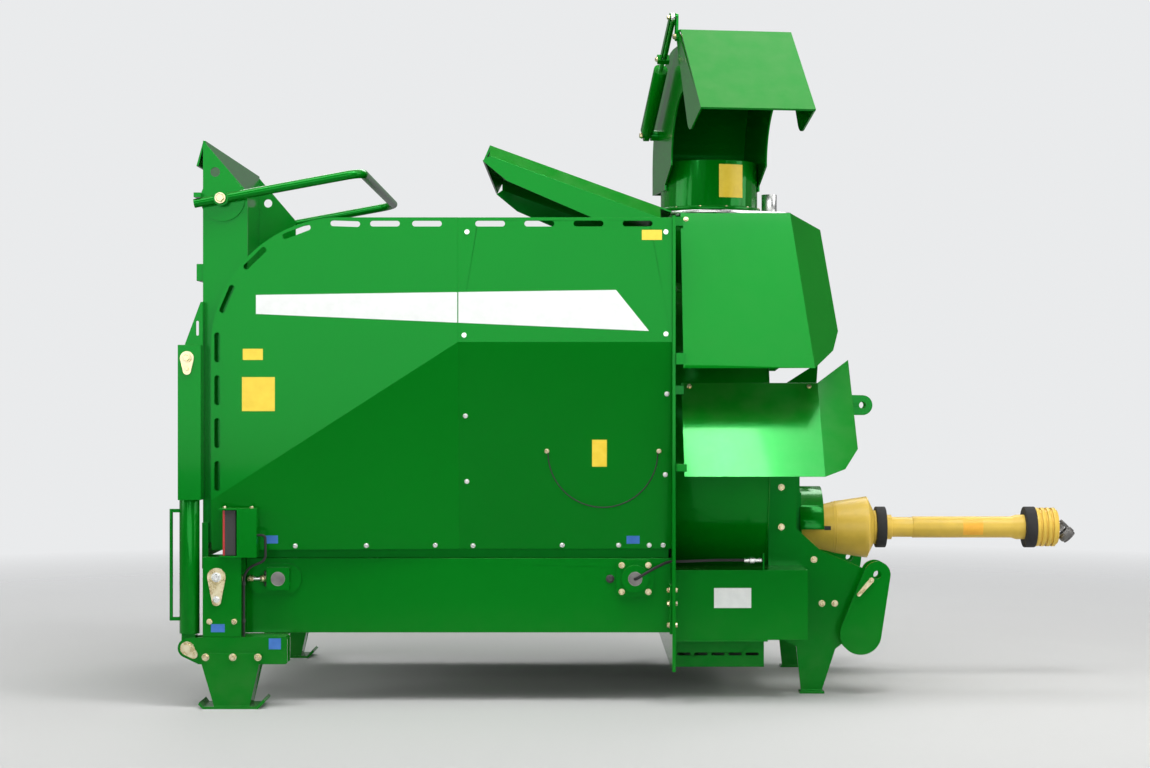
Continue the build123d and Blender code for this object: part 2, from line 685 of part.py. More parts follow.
DISC_R = 78
LIFT_HOLE = (-1512, 1873, 17)
ARM_OUTER_Y = 700
ARM_TOP_Z = 640
ARM_ELBOW_Z = 480
ARM_WIDTH = 22
HOOP_WASHER_R = 20
HOOP_PIN_END = 735
STOP_GAP = 0.5
HOOP_SLOPE = atan2(HOOP_RISE, HOOP_REACH)
TAIL_X = -1580
TAIL_Z = HOOP_Z - (HOOP_X - TAIL_X) * HOOP_RISE / HOOP_REACH
STOP_LOW_Z = HOOP_Z - (HOOP_X - GATE_REAR_X) * HOOP_RISE / HOOP_REACH + HOOP_TUBE_R / cos(HOOP_SLOPE) + STOP_GAP
with BuildPart() as tailgate_side_right:
    plate_y(
        (-GATE_Y, -GATE_INNER_Y),
        [
            (GATE_REAR_X, GATE_FOOT_Z),
            (GATE_REAR_X, GATE_APEX_Z),
            (GATE_SLOPE_X, GATE_SLOPE_Z),
            (GATE_FRONT_X, GATE_SLOPE_Z - PLATE),
            (GATE_FRONT_X, GATE_FOOT_Z),
        ],
    )
    plate_y(
        (-ARM_OUTER_Y, -GATE_INNER_Y),
        [
            (GATE_REAR_X, ARM_TOP_Z),
            (GATE_REAR_X, ARM_ELBOW_Z),
            (HINGE_X, HINGE_Z - ARM_WIDTH / 2),
            (HINGE_X, HINGE_Z + ARM_WIDTH / 2),
            (GATE_REAR_X + ARM_WIDTH, ARM_ELBOW_Z + ARM_WIDTH / 2),
            (GATE_REAR_X + ARM_WIDTH, ARM_TOP_Z),
        ],
    )
    bar_y(HINGE_X, HINGE_Z, HINGE_EYE_R, (-ARM_OUTER_Y, -GATE_INNER_Y))
    bar_y(HINGE_X, HINGE_Z, HINGE_PIN_R + RUN_GAP, (-ARM_OUTER_Y, -GATE_INNER_Y), Mode.SUBTRACT)
    lift_x, lift_z, lift_r = LIFT_HOLE
    bar_y(lift_x, lift_z, lift_r, (-GATE_Y, -GATE_INNER_Y), Mode.SUBTRACT)
    bar_y(HOOP_X, HOOP_Z, DISC_R, (-GATE_Y - PLATE, -GATE_Y))
    bar_y(HOOP_X, HOOP_Z, HOOP_PIN_R, (-HOOP_PIN_END, -GATE_Y))
    bar_y(HOOP_X, HOOP_Z, HOOP_WASHER_R, (-HOOP_PIN_END - SHEET, -HOOP_PIN_END))
    block(
        (TAIL_X, GATE_REAR_X),
        (-HOOP_Y - HOOP_TUBE_R, -GATE_INNER_Y),
        (STOP_LOW_Z, STOP_LOW_Z + 2 * PLATE),
    )
    block(
        (GATE_REAR_X, GATE_REAR_X + 3 * PLATE),
        (-GATE_Y - PLATE, -GATE_Y),
        (STOP_LOW_Z, STOP_LOW_Z + 2 * PLATE),
    )
save(tailgate_side_right, "tailgate_side_right")

with BuildPart() as tailgate_side_left:
    mirror(tailgate_side_right.part, about=Plane.XZ)
save(tailgate_side_left, "tailgate_side_left")

GUSSET_TOP_Z = 1414
GUSSET_SLOT = (-1566, 1322)
with BuildPart() as ram_channels:
    block((CHANNEL_REAR_X, CHANNEL_FRONT_X), (-CHANNEL_Y, -CHANNEL_Y + PLATE), (CHANNEL_LOW_Z, CHANNEL_TOP_Z))
    block((CHANNEL_REAR_X, CHANNEL_FRONT_X), (-GATE_Y - PLATE, -GATE_Y), (CHANNEL_LOW_Z, CHANNEL_TOP_Z))
    block((CHANNEL_FRONT_X - PLATE, CHANNEL_FRONT_X), (-CHANNEL_Y, -GATE_Y), (CHANNEL_LOW_Z, CHANNEL_TOP_Z))
    block((CHANNEL_REAR_X, CHANNEL_FRONT_X), (-CHANNEL_Y, -GATE_Y), (CHANNEL_TOP_Z - PLATE, CHANNEL_TOP_Z))
    plate_y(
        (-RAM_Y - PLATE / 2, -RAM_Y + PLATE / 2),
        [
            (CHANNEL_REAR_X + 2 * PLATE, CHANNEL_TOP_Z),
            (CHANNEL_FRONT_X, CHANNEL_TOP_Z),
            (CHANNEL_FRONT_X, GUSSET_TOP_Z),
            (CHANNEL_FRONT_X - PLATE, GUSSET_TOP_Z),
        ],
    )
    block(
        (CHANNEL_FRONT_X - PLATE, CHANNEL_FRONT_X),
        (-RAM_Y, -GATE_Y),
        (CHANNEL_TOP_Z, GUSSET_TOP_Z),
    )
    with BuildSketch(Plane.XZ.offset(RAM_Y - PLATE / 2)):
        with Locations(GUSSET_SLOT):
            SlotOverall(SLOT_LENGTH / 2, SLOT_WIDTH / 2, rotation=90)
    extrude(amount=PLATE, mode=Mode.SUBTRACT)
    mirror(about=Plane.XZ)
save(ram_channels, "ram_channels")

with BuildPart() as ram_upper_pins:
    lobe_y(
        (-CHANNEL_Y - PLATE, -CHANNEL_Y),
        [(RAM_X, RAM_HIGH_Z, CAM_R), (RAM_X, RAM_HIGH_Z - 2 * CAM_STEP, RAM_PIN_R)],
    )
    bar_y(RAM_X, RAM_HIGH_Z, RAM_PIN_R, (-CHANNEL_Y - 2 * PLATE, -CHANNEL_Y - PLATE))
    mirror(about=Plane.XZ)
save(ram_upper_pins, "ram_upper_pins")

# Bale hoop: a bent tube pivoted on the tailgate's upper corners
HOOP_END = (HOOP_X + HOOP_REACH, HOOP_Z + HOOP_RISE)
HOOP_BOSS_R = 26
with BuildPart() as bale_hoop:
    with BuildLine():
        FilletPolyline(
            (TAIL_X, -HOOP_Y, TAIL_Z),
            (HOOP_END[0], -HOOP_Y, HOOP_END[1]),
            (HOOP_END[0], HOOP_Y, HOOP_END[1]),
            (TAIL_X, HOOP_Y, TAIL_Z),
            radius=HOOP_BEND_R,
        )
    with BuildSketch(Plane(origin=(TAIL_X, -HOOP_Y, TAIL_Z), z_dir=(HOOP_REACH, 0, HOOP_RISE))):
        Circle(HOOP_TUBE_R)
    sweep()
    for side in (-1, 1):
        middle = side * HOOP_Y
        bar_y(HOOP_X, HOOP_Z, HOOP_BOSS_R, (middle - HOOP_TUBE_R - 2, middle + HOOP_TUBE_R + 2))
        bar_y(
            HOOP_X,
            HOOP_Z,
            HOOP_PIN_R + RUN_GAP,
            (middle - 2 * HOOP_TUBE_R, middle + 2 * HOOP_TUBE_R),
            Mode.SUBTRACT,
        )
save(bale_hoop, "bale_hoop")

# Tailgate rams: hollow barrels with a supply pipe, and plain rods
PIPE_R = 6
PIPE_STAND = 64
PIPE_X = RAM_X - PIPE_STAND
PIPE_Z = (300, 690)
BORE_LOW_Z = 290
NECK_HALF = 24
with BuildPart() as ram_barrels:
    bar_y(RAM_X, RAM_LOW_Z, RAM_EYE_R, (-RAM_Y - RAM_EYE_WIDTH / 2, -RAM_Y + RAM_EYE_WIDTH / 2))
    block(
        (RAM_X - NECK_HALF, RAM_X + NECK_HALF),
        (-RAM_Y - NECK_HALF, -RAM_Y + NECK_HALF),
        (RAM_LOW_Z, BARREL_LOW_Z),
    )
    bar_z(RAM_X, -RAM_Y, BARREL_R, (BARREL_LOW_Z, BARREL_TOP_Z))
    bar_z(PIPE_X, -RAM_Y, PIPE_R, PIPE_Z)
    for z in (PIPE_Z[0] + PIPE_R, PIPE_Z[1] - PIPE_R):
        block((PIPE_X, RAM_X - ROD_R), (-RAM_Y - PIPE_R, -RAM_Y + PIPE_R), (z - PIPE_R, z + PIPE_R))
    bar_y(
        RAM_X,
        RAM_LOW_Z,
        RAM_PIN_R + RUN_GAP,
        (-RAM_Y - RAM_EYE_WIDTH / 2, -RAM_Y + RAM_EYE_WIDTH / 2),
        Mode.SUBTRACT,
    )
    bar_z(RAM_X, -RAM_Y, ROD_R + ROD_GAP, (BORE_LOW_Z, BARREL_TOP_Z), Mode.SUBTRACT)
    mirror(about=Plane.XZ)
save(ram_barrels, "ram_barrels")

with BuildPart() as ram_rods:
    bar_z(RAM_X, -RAM_Y, ROD_R, (ROD_LOW_Z, RAM_HIGH_Z))
    bar_y(RAM_X, RAM_HIGH_Z, RAM_EYE_R, (-RAM_Y - RAM_EYE_WIDTH / 2, -RAM_Y + RAM_EYE_WIDTH / 2))
    bar_y(
        RAM_X,
        RAM_HIGH_Z,
        RAM_PIN_R,
        (-RAM_Y - RAM_EYE_WIDTH / 2, -RAM_Y + RAM_EYE_WIDTH / 2),
        Mode.SUBTRACT,
    )
    mirror(about=Plane.XZ)
save(ram_rods, "ram_rods")

# Front bulkhead with the opening from the rotor to the fan
PORT_Y = 480
PORT_Z = (640, 1150)
PORT_CORNER_R = 80
GREASE_HOLE = (-648, 500)
GREASE_HOLE_R = 9
GREASE_BRACKET_X = 420
with BuildPart() as bulkhead:
    block((BULKHEAD_X, FAN_BACK_X), (-BULKHEAD_Y, BULKHEAD_Y), (BULKHEAD_FOOT_Z, BULKHEAD_TOP_Z))
    with BuildSketch(Plane.YZ.offset(BULKHEAD_X)):
        with Locations((0, (PORT_Z[0] + PORT_Z[1]) / 2)):
            RectangleRounded(2 * PORT_Y, PORT_Z[1] - PORT_Z[0], PORT_CORNER_R)
        with Locations(GREASE_HOLE):
            Circle(GREASE_HOLE_R)
    extrude(amount=FAN_BACK_X - BULKHEAD_X, mode=Mode.SUBTRACT)
save(bulkhead, "bulkhead")

# Grease line from the drive bearing through the bulkhead to a nipple above the front rail
GREASE_R = 5
GREASE_ROUTE = [
    (DRIVE_SHAFT_X, -BEARING_Y, SHAFT_Z),
    (DRIVE_SHAFT_X, -BEARING_Y - 24, SHAFT_Z),
    (DRIVE_SHAFT_X + 60, -BEARING_Y - 22, SHAFT_Z + 36),
    (BULKHEAD_X - 10, GREASE_HOLE[0], GREASE_HOLE[1]),
    (FAN_BACK_X + 30, *GREASE_HOLE),
    (FAN_BACK_X + 150, GREASE_HOLE[0] + 60, GREASE_HOLE[1]),
    (GREASE_BRACKET_X, GREASE_HOLE[0] + 60, GREASE_HOLE[1]),
]
GREASE_BENDS = [16, 60, 60, 80, 80]
BRACKET_HALF = 26
with BuildPart() as grease_line:
    with BuildLine():
        FilletPolyline(*GREASE_ROUTE, radius=GREASE_BENDS)
    with BuildSketch(Plane(origin=GREASE_ROUTE[0], z_dir=(0, -1, 0))):
        Circle(GREASE_R)
    sweep()
save(grease_line, "grease_line")

# Rotor, carried by cheek plates inside the walls
CHEEK_X = -250
CHEEK_Z = (650, 1180)
ROTOR_WEB_Y = 7
BLADE_ROWS = 4
BLADES_PER_ROW = 9
BLADE_END = 35
BLADE_PITCH = 2 * (ROTOR_HALF - BLADE_END) / (BLADES_PER_ROW - 1 / BLADE_ROWS)
BLADE_THICK = 12
BLADE_WIDTH = 90
with BuildPart() as rotor_cheeks:
    block((CHEEK_X, BULKHEAD_X), (-CHEEK_Y, -CHEEK_Y + PLATE), CHEEK_Z)
    bar_y(ROTOR_X, ROTOR_Z, ROTOR_SHAFT_R + RUN_GAP, (-CHEEK_Y, -CHEEK_Y + PLATE), Mode.SUBTRACT)
    mirror(about=Plane.XZ)
save(rotor_cheeks, "rotor_cheeks")

with BuildPart() as rotor:
    bar_y(ROTOR_X, ROTOR_Z, ROTOR_SHAFT_R, (-CHEEK_Y, CHEEK_Y))
    bar_y(ROTOR_X, ROTOR_Z, ROTOR_DRUM_R, (-ROTOR_HALF, ROTOR_HALF))
    for side in (-1, 1):
        ends = sorted((side * ROTOR_WEB_Y, side * (ROTOR_HALF - HEAVY)))
        bar_y(ROTOR_X, ROTOR_Z, ROTOR_DRUM_R - HEAVY, ends, Mode.SUBTRACT)
        bar_y(ROTOR_X, ROTOR_Z, ROTOR_SHAFT_R, ends)
    for row in range(BLADE_ROWS):
        turn = row * 360 / BLADE_ROWS
        stagger = (row - (BLADE_ROWS - 1) / 2) / BLADE_ROWS
        for station in range(BLADES_PER_ROW):
            y = (station - (BLADES_PER_ROW - 1) / 2 + stagger) * BLADE_PITCH
            with Locations(Location((ROTOR_X, y, ROTOR_Z), (0, turn, 0))):
                with Locations(((ROTOR_DRUM_R + ROTOR_TIP_R - SHEET) / 2, 0, 0)):
                    Box(ROTOR_TIP_R - ROTOR_DRUM_R, BLADE_THICK, BLADE_WIDTH)
save(rotor, "rotor")

# Fan casing with the outlet neck, and the fan
FAN_MID_X = CHUTE_X
CASE_SHEET = 6
with BuildPart() as fan_drum:
    bar_x(FAN_Z, FAN_R, (FAN_BACK_X, FAN_FRONT_X))
    bar_x(FAN_Z, FAN_R - CASE_SHEET, (FAN_BACK_X, FAN_FRONT_X - CASE_SHEET), Mode.SUBTRACT)
    bar_z(FAN_MID_X, 0, OUTLET_R - CASE_SHEET, (FAN_Z, CHUTE_Z - FLANGE_THICK), Mode.SUBTRACT)
    bar_x(FAN_Z, FAN_SHAFT_R + RUN_GAP, (FAN_FRONT_X - CASE_SHEET, FAN_FRONT_X), Mode.SUBTRACT)
save(fan_drum, "fan_drum")

with BuildPart() as outlet_neck:
    bar_z(FAN_MID_X, 0, OUTLET_R, (FAN_Z, CHUTE_Z - FLANGE_THICK))
    bar_z(FAN_MID_X, 0, OUTLET_R - CASE_SHEET, (FAN_Z, CHUTE_Z - FLANGE_THICK), Mode.SUBTRACT)
    bar_x(FAN_Z, FAN_R + TURN_GAP, (FAN_BACK_X, FAN_FRONT_X), Mode.SUBTRACT)
save(outlet_neck, "outlet_neck")

PADDLES = 6
PADDLE_X = (150, 400)
HUB_R = 75
SHAFT_END_GAP = 0.5
with BuildPart() as fan:
    bar_x(FAN_Z, FAN_SHAFT_R, (PADDLE_X[0], FAN_FRONT_X - SHAFT_END_GAP))
    bar_x(FAN_Z, HUB_R, PADDLE_X)
    bar_x(FAN_Z, FAN_TIP_R * 0.6, (PADDLE_X[1], PADDLE_X[1] + PLATE))
    for step in range(PADDLES):
        with Locations(Location(((PADDLE_X[0] + PADDLE_X[1]) / 2, 0, FAN_Z), (step * 360 / PADDLES, 0, 0))):
            with Locations((0, 0, (HUB_R + FAN_TIP_R - SHEET) / 2)):
                Box(PADDLE_X[1] - PADDLE_X[0], PLATE, FAN_TIP_R - HUB_R)
save(fan, "fan")

# Turntable under the chute with the slewing motor on its lug
LUG_R = 84
LUG_X = 496
SLEW_R = 29
SLEW_HEIGHT = 70
with BuildPart() as turntable:
    with BuildSketch(Plane.XY.offset(CHUTE_Z - FLANGE_THICK)):
        with Locations((CHUTE_X, 0)):
            Circle(FLANGE_R)
        with Locations((LUG_X, 0)):
            Circle(LUG_R)
        make_hull()
        with Locations((CHUTE_X, 0)):
            Circle(OUTLET_R - CASE_SHEET, mode=Mode.SUBTRACT)
    extrude(amount=FLANGE_THICK)
save(turntable, "turntable")

with BuildPart() as slew_motor:
    bar_z(LUG_X, 0, SLEW_R, (CHUTE_Z, CHUTE_Z + SLEW_HEIGHT))
save(slew_motor, "slew_motor")

# Rotor hood over the front of the bed
HOOD_Y = 690
HOOD_FOLD = 36
HOOD_EDGE = 42
HOOD_FRONT_RISE = 28
HOOD_REAR_RISE = 260
HOOD_LIP_RISE = 202
HOOD_KINK_RISE = 131
HOOD_FRONT_Z = WALL_TOP_Z + HOOD_FRONT_RISE
HOOD_REAR = (-546, WALL_TOP_Z + HOOD_REAR_RISE)
HOOD_LIP = (-571, WALL_TOP_Z + HOOD_LIP_RISE)
HOOD_KINK = (-485, WALL_TOP_Z + HOOD_KINK_RISE)
HOOD_SEAT_X = -182
HOOD_FOLD_X = BULKHEAD_X - (HOOD_EDGE - HOOD_FRONT_Z + WALL_TOP_Z) * (BULKHEAD_X - HOOD_REAR[0]) / (
    HOOD_REAR[1] - HOOD_FRONT_Z
)
with BuildPart() as rotor_hood:
    for side in (-1, 1):
        plate_y(
            sorted((side * HOOD_Y, side * (HOOD_Y - SHEET))),
            [
                (HOOD_FOLD_X, WALL_TOP_Z),
                (HOOD_REAR[0], HOOD_REAR[1] - HOOD_EDGE),
                HOOD_LIP,
                HOOD_KINK,
                (HOOD_SEAT_X, WALL_TOP_Z),
            ],
        )
    for side in (-1, 1):
        fold = [
            (HOOD_REAR[0], side * HOOD_Y, HOOD_REAR[1] - HOOD_EDGE),
            (HOOD_FOLD_X, side * HOOD_Y, WALL_TOP_Z),
            (HOOD_FOLD_X, side * (HOOD_Y - HOOD_FOLD), WALL_TOP_Z + HOOD_EDGE),
            (HOOD_REAR[0], side * (HOOD_Y - HOOD_FOLD), HOOD_REAR[1]),
        ]
        sheet_between(fold, -side * SHEET)
    plate_y(
        (-HOOD_Y + HOOD_FOLD, HOOD_Y - HOOD_FOLD),
        [
            (BULKHEAD_X, HOOD_FRONT_Z),
            HOOD_REAR,
            HOOD_LIP,
            (HOOD_LIP[0] + SHEET, HOOD_LIP[1]),
            (HOOD_REAR[0] + SHEET, HOOD_REAR[1] - SHEET - 2),
            (BULKHEAD_X, HOOD_FRONT_Z - SHEET),
        ],
    )
save(rotor_hood, "rotor_hood")

# Fan guards: two bent sheets on each side that flare outward at the foot, each with a wing
GUARD_X = 131
GUARD_SHEET = 5
UPPER_FOLD = [(522, -560, 1738), (588, -780, 1182)]
UPPER_WING = [UPPER_FOLD[1], UPPER_FOLD[0], (642, -450, 1685)]
LOWER_FOLD = [(616, -600, 1131), (616, -850, 807)]
LOWER_WING = [LOWER_FOLD[1], LOWER_FOLD[0], (737, -500, 1214)]
GUARDS = {
    "upper_guards": {
        "fold": UPPER_FOLD,
        "wing": UPPER_WING,
        "tips": [(690, 1315), (665, 1245)],
        "feet": [((-590, -560), (1690, 1722)), ((-775, -690), (1195, 1235))],
    },
    "lower_guards": {
        "fold": LOWER_FOLD,
        "wing": LOWER_WING,
        "tips": [(742, 900), (690, 832)],
        "feet": [((-640, -600), (1090, 1122)), ((-838, -690), (825, 850))],
    },
}
for guard_name, guard in GUARDS.items():
    top, foot = guard["fold"]
    tips = [(x, depth_on(guard["wing"], x, z), z) for x, z in guard["tips"]]
    with BuildPart() as guards:
        sheet_between([(GUARD_X, top[1], top[2]), top, foot, (GUARD_X, foot[1], foot[2])], GUARD_SHEET)
        sheet_between(guard["wing"] + tips, GUARD_SHEET)
        for foot_y, foot_z in guard["feet"]:
            block((FAN_BACK_X, GUARD_X + PLATE), foot_y, foot_z)
        mirror(about=Plane.XZ)
    save(guards, guard_name)

# Front frame: two box rails, a cross tube and the tray under the fan
with BuildPart() as front_rails:
    block((FAN_BACK_X, FRAME_FRONT_X), (-FRAME_Y, -HITCH_Y), (FRAME_FOOT_Z, FRAME_TOP_Z))
    block(
        (FAN_BACK_X, FRAME_FRONT_X),
        (-FRAME_Y + PLATE, -HITCH_Y - PLATE),
        (FRAME_FOOT_Z + PLATE, FRAME_TOP_Z - PLATE),
        Mode.SUBTRACT,
    )
    block(
        (GREASE_BRACKET_X, GREASE_BRACKET_X + SHEET),
        (GREASE_ROUTE[-1][1] - BRACKET_HALF, GREASE_ROUTE[-1][1] + BRACKET_HALF),
        (FRAME_TOP_Z, GREASE_ROUTE[-1][2] + BRACKET_HALF),
    )
    mirror(about=Plane.XZ)
save(front_rails, "front_rails")

CROSS_TUBE_X = (452, 540)
CROSS_TUBE_Z = (250, 440)
HITCH_IN_Y = HITCH_Y - HEAVY
with BuildPart() as front_cross_tube:
    block(CROSS_TUBE_X, (-HITCH_IN_Y, HITCH_IN_Y), CROSS_TUBE_Z)
    block(
        (CROSS_TUBE_X[0] + PLATE, CROSS_TUBE_X[1] - PLATE),
        (-HITCH_IN_Y, HITCH_IN_Y),
        (CROSS_TUBE_Z[0] + PLATE, CROSS_TUBE_Z[1] - PLATE),
        Mode.SUBTRACT,
    )
save(front_cross_tube, "front_cross_tube")

TRAY_Y = 430
TRAY_FRONT_X = 440
TRAY_FOOT_Z = 100
TRAY_SLOT_Z = 147
TRAY_SLOT_PITCH = 62
TRAY_SLOTS = 5
TRAY_SLOT = 48
with BuildPart() as fan_tray:
    block((FAN_BACK_X, TRAY_FRONT_X), (-TRAY_Y, TRAY_Y), (TRAY_FOOT_Z, FRAME_FOOT_Z))
    block(
        (FAN_BACK_X, TRAY_FRONT_X),
        (-FRAME_Y, FRAME_Y),
        (FRAME_FOOT_Z - SHEET, FRAME_FOOT_Z),
    )
    block(
        (FAN_BACK_X + SHEET, TRAY_FRONT_X - SHEET),
        (-TRAY_Y + SHEET, TRAY_Y - SHEET),
        (TRAY_FOOT_Z + SHEET, FRAME_FOOT_Z),
        Mode.SUBTRACT,
    )
    with BuildSketch(Plane.XZ.offset(TRAY_Y)):
        with Locations(((FAN_BACK_X + TRAY_FRONT_X) / 2, TRAY_SLOT_Z)):
            with GridLocations(TRAY_SLOT_PITCH, 1, TRAY_SLOTS, 1):
                SlotOverall(TRAY_SLOT, SLOT_WIDTH / 2)
    extrude(amount=-2 * TRAY_Y, mode=Mode.SUBTRACT)
save(fan_tray, "fan_tray")

# Three-point headstock: side plates with front feet, outer lobes, latches and top beam
TOP_LINK_Z = LOWER_LINK_Z + MAST_HEIGHT
FRONT_SOLE = (572, 662)
BEAM_FRONT_X = 552
BEAM_LOW_Z = 1010
EAR_R = 38
with BuildPart() as hitch_plates:
    plate_y(
        (-HITCH_Y, -HITCH_IN_Y),
        [
            (HITCH_REAR_X, HITCH_TOP_Z),
            (HITCH_POST_X, HITCH_TOP_Z),
            (HITCH_POST_X, 600),
            (650, 520),
            (770, 470),
            (LINK_X, LOBE_TOP[1]),
            (LOBE_FOOT[0], LOBE_FOOT[1]),
            (705, 160),
            (653, 0),
            (580, 0),
            (HITCH_POST_X, 170),
            (HITCH_REAR_X, FRAME_FOOT_Z),
        ],
    )
    lobe_y((-HITCH_Y, -HITCH_IN_Y), [LOBE_TOP, LOBE_FOOT])
    block(FRONT_SOLE, (-HITCH_Y - 2 * HEAVY, -HITCH_IN_Y + HEAVY), (0, SOLE_THICK))
    bar_y(LINK_X, LOWER_LINK_Z, LOWER_BORE_R, (-HITCH_Y, -HITCH_IN_Y), Mode.SUBTRACT)
    mirror(about=Plane.XZ)
save(hitch_plates, "hitch_plates")

LOBE_OUT = (-HITCH_Y - HITCH_GAP - HEAVY, -HITCH_Y - HITCH_GAP)
SPACER_R = 30
with BuildPart() as hitch_lobes:
    lobe_y(LOBE_OUT, [LOBE_TOP, LOBE_FOOT])
    bar_y(LOBE_FOOT[0], LOBE_FOOT[1], SPACER_R, (LOBE_OUT[1], -HITCH_Y))
    bar_y(LINK_X, LOWER_LINK_Z, LOWER_BORE_R, LOBE_OUT, Mode.SUBTRACT)
    mirror(about=Plane.XZ)
save(hitch_lobes, "hitch_lobes")

LATCH_ENDS = [(780, 366, 7), (826, 418, 9)]
LATCH_THICK = 10
with BuildPart() as hitch_latches:
    lobe_y((LOBE_OUT[0] - LATCH_THICK, LOBE_OUT[0]), LATCH_ENDS)
    mirror(about=Plane.XZ)
save(hitch_latches, "hitch_latches")

with BuildPart() as headstock:
    block((HITCH_REAR_X, BEAM_FRONT_X), (-HITCH_IN_Y, HITCH_IN_Y), (BEAM_LOW_Z, HITCH_TOP_Z))
    block(
        (HITCH_REAR_X + PLATE, BEAM_FRONT_X - PLATE),
        (-HITCH_IN_Y, HITCH_IN_Y),
        (BEAM_LOW_Z + PLATE, HITCH_TOP_Z - PLATE),
        Mode.SUBTRACT,
    )
    for side in (-1, 1):
        ys = sorted((side * TOP_GAP / 2, side * (TOP_GAP / 2 + HEAVY)))
        lobe_y(
            ys,
            [
                (LINK_X, TOP_LINK_Z, EAR_R),
                (BEAM_FRONT_X - PLATE / 2, HITCH_TOP_Z - 2, 1),
                (BEAM_FRONT_X - PLATE / 2, BEAM_LOW_Z + 2, 1),
            ],
        )
        bar_y(LINK_X, TOP_LINK_Z, TOP_BORE_R, ys, Mode.SUBTRACT)
save(headstock, "headstock")

# Gearbox from the drive shaft up to the fan shaft, with the shield over the stub
GEARBOX_X = (FAN_FRONT_X, 600)
GEARBOX_Y = 130
GEARBOX_Z = (470, 1005)
SHIELD_R = 150
SHIELD_X = 690
with BuildPart() as gearbox:
    block(GEARBOX_X, (-GEARBOX_Y, GEARBOX_Y), GEARBOX_Z)
    bar_x(PTO_Z, STUB_R, (GEARBOX_X[1], STUB_X))
save(gearbox, "gearbox")

with BuildPart() as pto_shield:
    bar_x(PTO_Z, SHIELD_R + SHEET, (GEARBOX_X[1], SHIELD_X))
    bar_x(PTO_Z, SHIELD_R, (GEARBOX_X[1], SHIELD_X), Mode.SUBTRACT)
    block(
        (GEARBOX_X[1], SHIELD_X),
        (-2 * SHIELD_R, 2 * SHIELD_R),
        (PTO_Z - 2 * SHIELD_R, PTO_Z),
        Mode.SUBTRACT,
    )
    block(
        (GEARBOX_X[1], GEARBOX_X[1] + SHEET),
        (-GEARBOX_Y, GEARBOX_Y),
        (PTO_Z + GEARBOX_Y / 2, PTO_Z + SHIELD_R - 2 * SHEET),
    )
    bar_x(PTO_Z, SHIELD_R, (GEARBOX_X[1], GEARBOX_X[1] + SHEET))
    bar_x(PTO_Z, STUB_R + GUARD_SHEET, (GEARBOX_X[1], GEARBOX_X[1] + SHEET), Mode.SUBTRACT)
save(pto_shield, "pto_shield")

# Drive shaft guards: bell, tube, bearing rings and ribbed collar, all turned about the shaft
PTO_AXIS = Plane(origin=(0, 0, PTO_Z), x_dir=(1, 0, 0), z_dir=(0, -1, 0))
GUARD_WALL = 5
TUBE_BORE_R = PTO_SHAFT_R + RUN_GAP
COLLAR_BORE_R = 40
RING_R = 78
NECK_OUT_R = 64
COLLAR_R = 47
BELL = [(614, 68), (754, 100), (867, 117), (893, 64), (901, 64)]
TUBE = [(893, 47), (962, 47), (962, 38), (1043, 38), (1043, 40.5), (1419, 40.5), (1440, 47), (1510, 47)]
RINGS = ((901, 939), (1468, 1510))
RIBS = (1510, 1593, 4)
RIB_R = 74
VALLEY_R = 66

with BuildPart() as pto_bell_guard:
    with BuildSketch(PTO_AXIS):
        Polygon(
            *BELL,
            (BELL[4][0], COLLAR_R),
            (BELL[3][0], COLLAR_R),
            (BELL[2][0] - GUARD_WALL, BELL[2][1] - GUARD_WALL),
            (BELL[1][0], BELL[1][1] - GUARD_WALL),
            (STUB_X, STUB_R),
            (BELL[0][0], STUB_R),
            align=None,
        )
    revolve(axis=Axis((0, 0, PTO_Z), (1, 0, 0)))
save(pto_bell_guard, "pto_bell_guard")

with BuildPart() as pto_guard_tube:
    with BuildSketch(PTO_AXIS):
        Polygon(*TUBE, (TUBE[7][0], TUBE_BORE_R), (TUBE[0][0], TUBE_BORE_R), align=None)
    revolve(axis=Axis((0, 0, PTO_Z), (1, 0, 0)))
save(pto_guard_tube, "pto_guard_tube")

with BuildPart() as pto_rings:
    for xs in RINGS:
        bar_x(PTO_Z, RING_R, xs)
        bar_x(PTO_Z, COLLAR_R, xs, Mode.SUBTRACT)
save(pto_rings, "pto_rings")

with BuildPart() as pto_ribbed_collar:
    rib_low, rib_high, rib_count = RIBS
    rib_step = (rib_high - rib_low) / rib_count
    bar_x(PTO_Z, VALLEY_R, (rib_low, rib_high))
    for step in range(rib_count):
        bar_x(PTO_Z, RIB_R, (rib_low + step * rib_step, rib_low + (step + 0.6) * rib_step))
    bar_x(PTO_Z, COLLAR_BORE_R, (rib_low, rib_high), Mode.SUBTRACT)
save(pto_ribbed_collar, "pto_ribbed_collar")

YOKE_R = 27
FORK_X = 1566
FORK_LENGTH = 46
CROSS_X = 1604
CROSS_R = 8
ARM_GAP = 17
ARM_R = 14
with BuildPart() as pto_shaft:
    bar_x(PTO_Z, PTO_SHAFT_R, (STUB_X + SIDE_GAP, FORK_X))
    bar_x(PTO_Z, YOKE_R, (FORK_X - FORK_LENGTH, FORK_X))
    for side in (-1, 1):
        arm = sorted((side * ARM_GAP, side * YOKE_R))
        block((FORK_X - ARM_R, CROSS_X), arm, (PTO_Z - ARM_R, PTO_Z + ARM_R))
        bar_y(CROSS_X, PTO_Z, ARM_R, arm)
        bar_y(CROSS_X, PTO_Z, CROSS_R + RUN_GAP, arm, Mode.SUBTRACT)
save(pto_shaft, "pto_shaft")

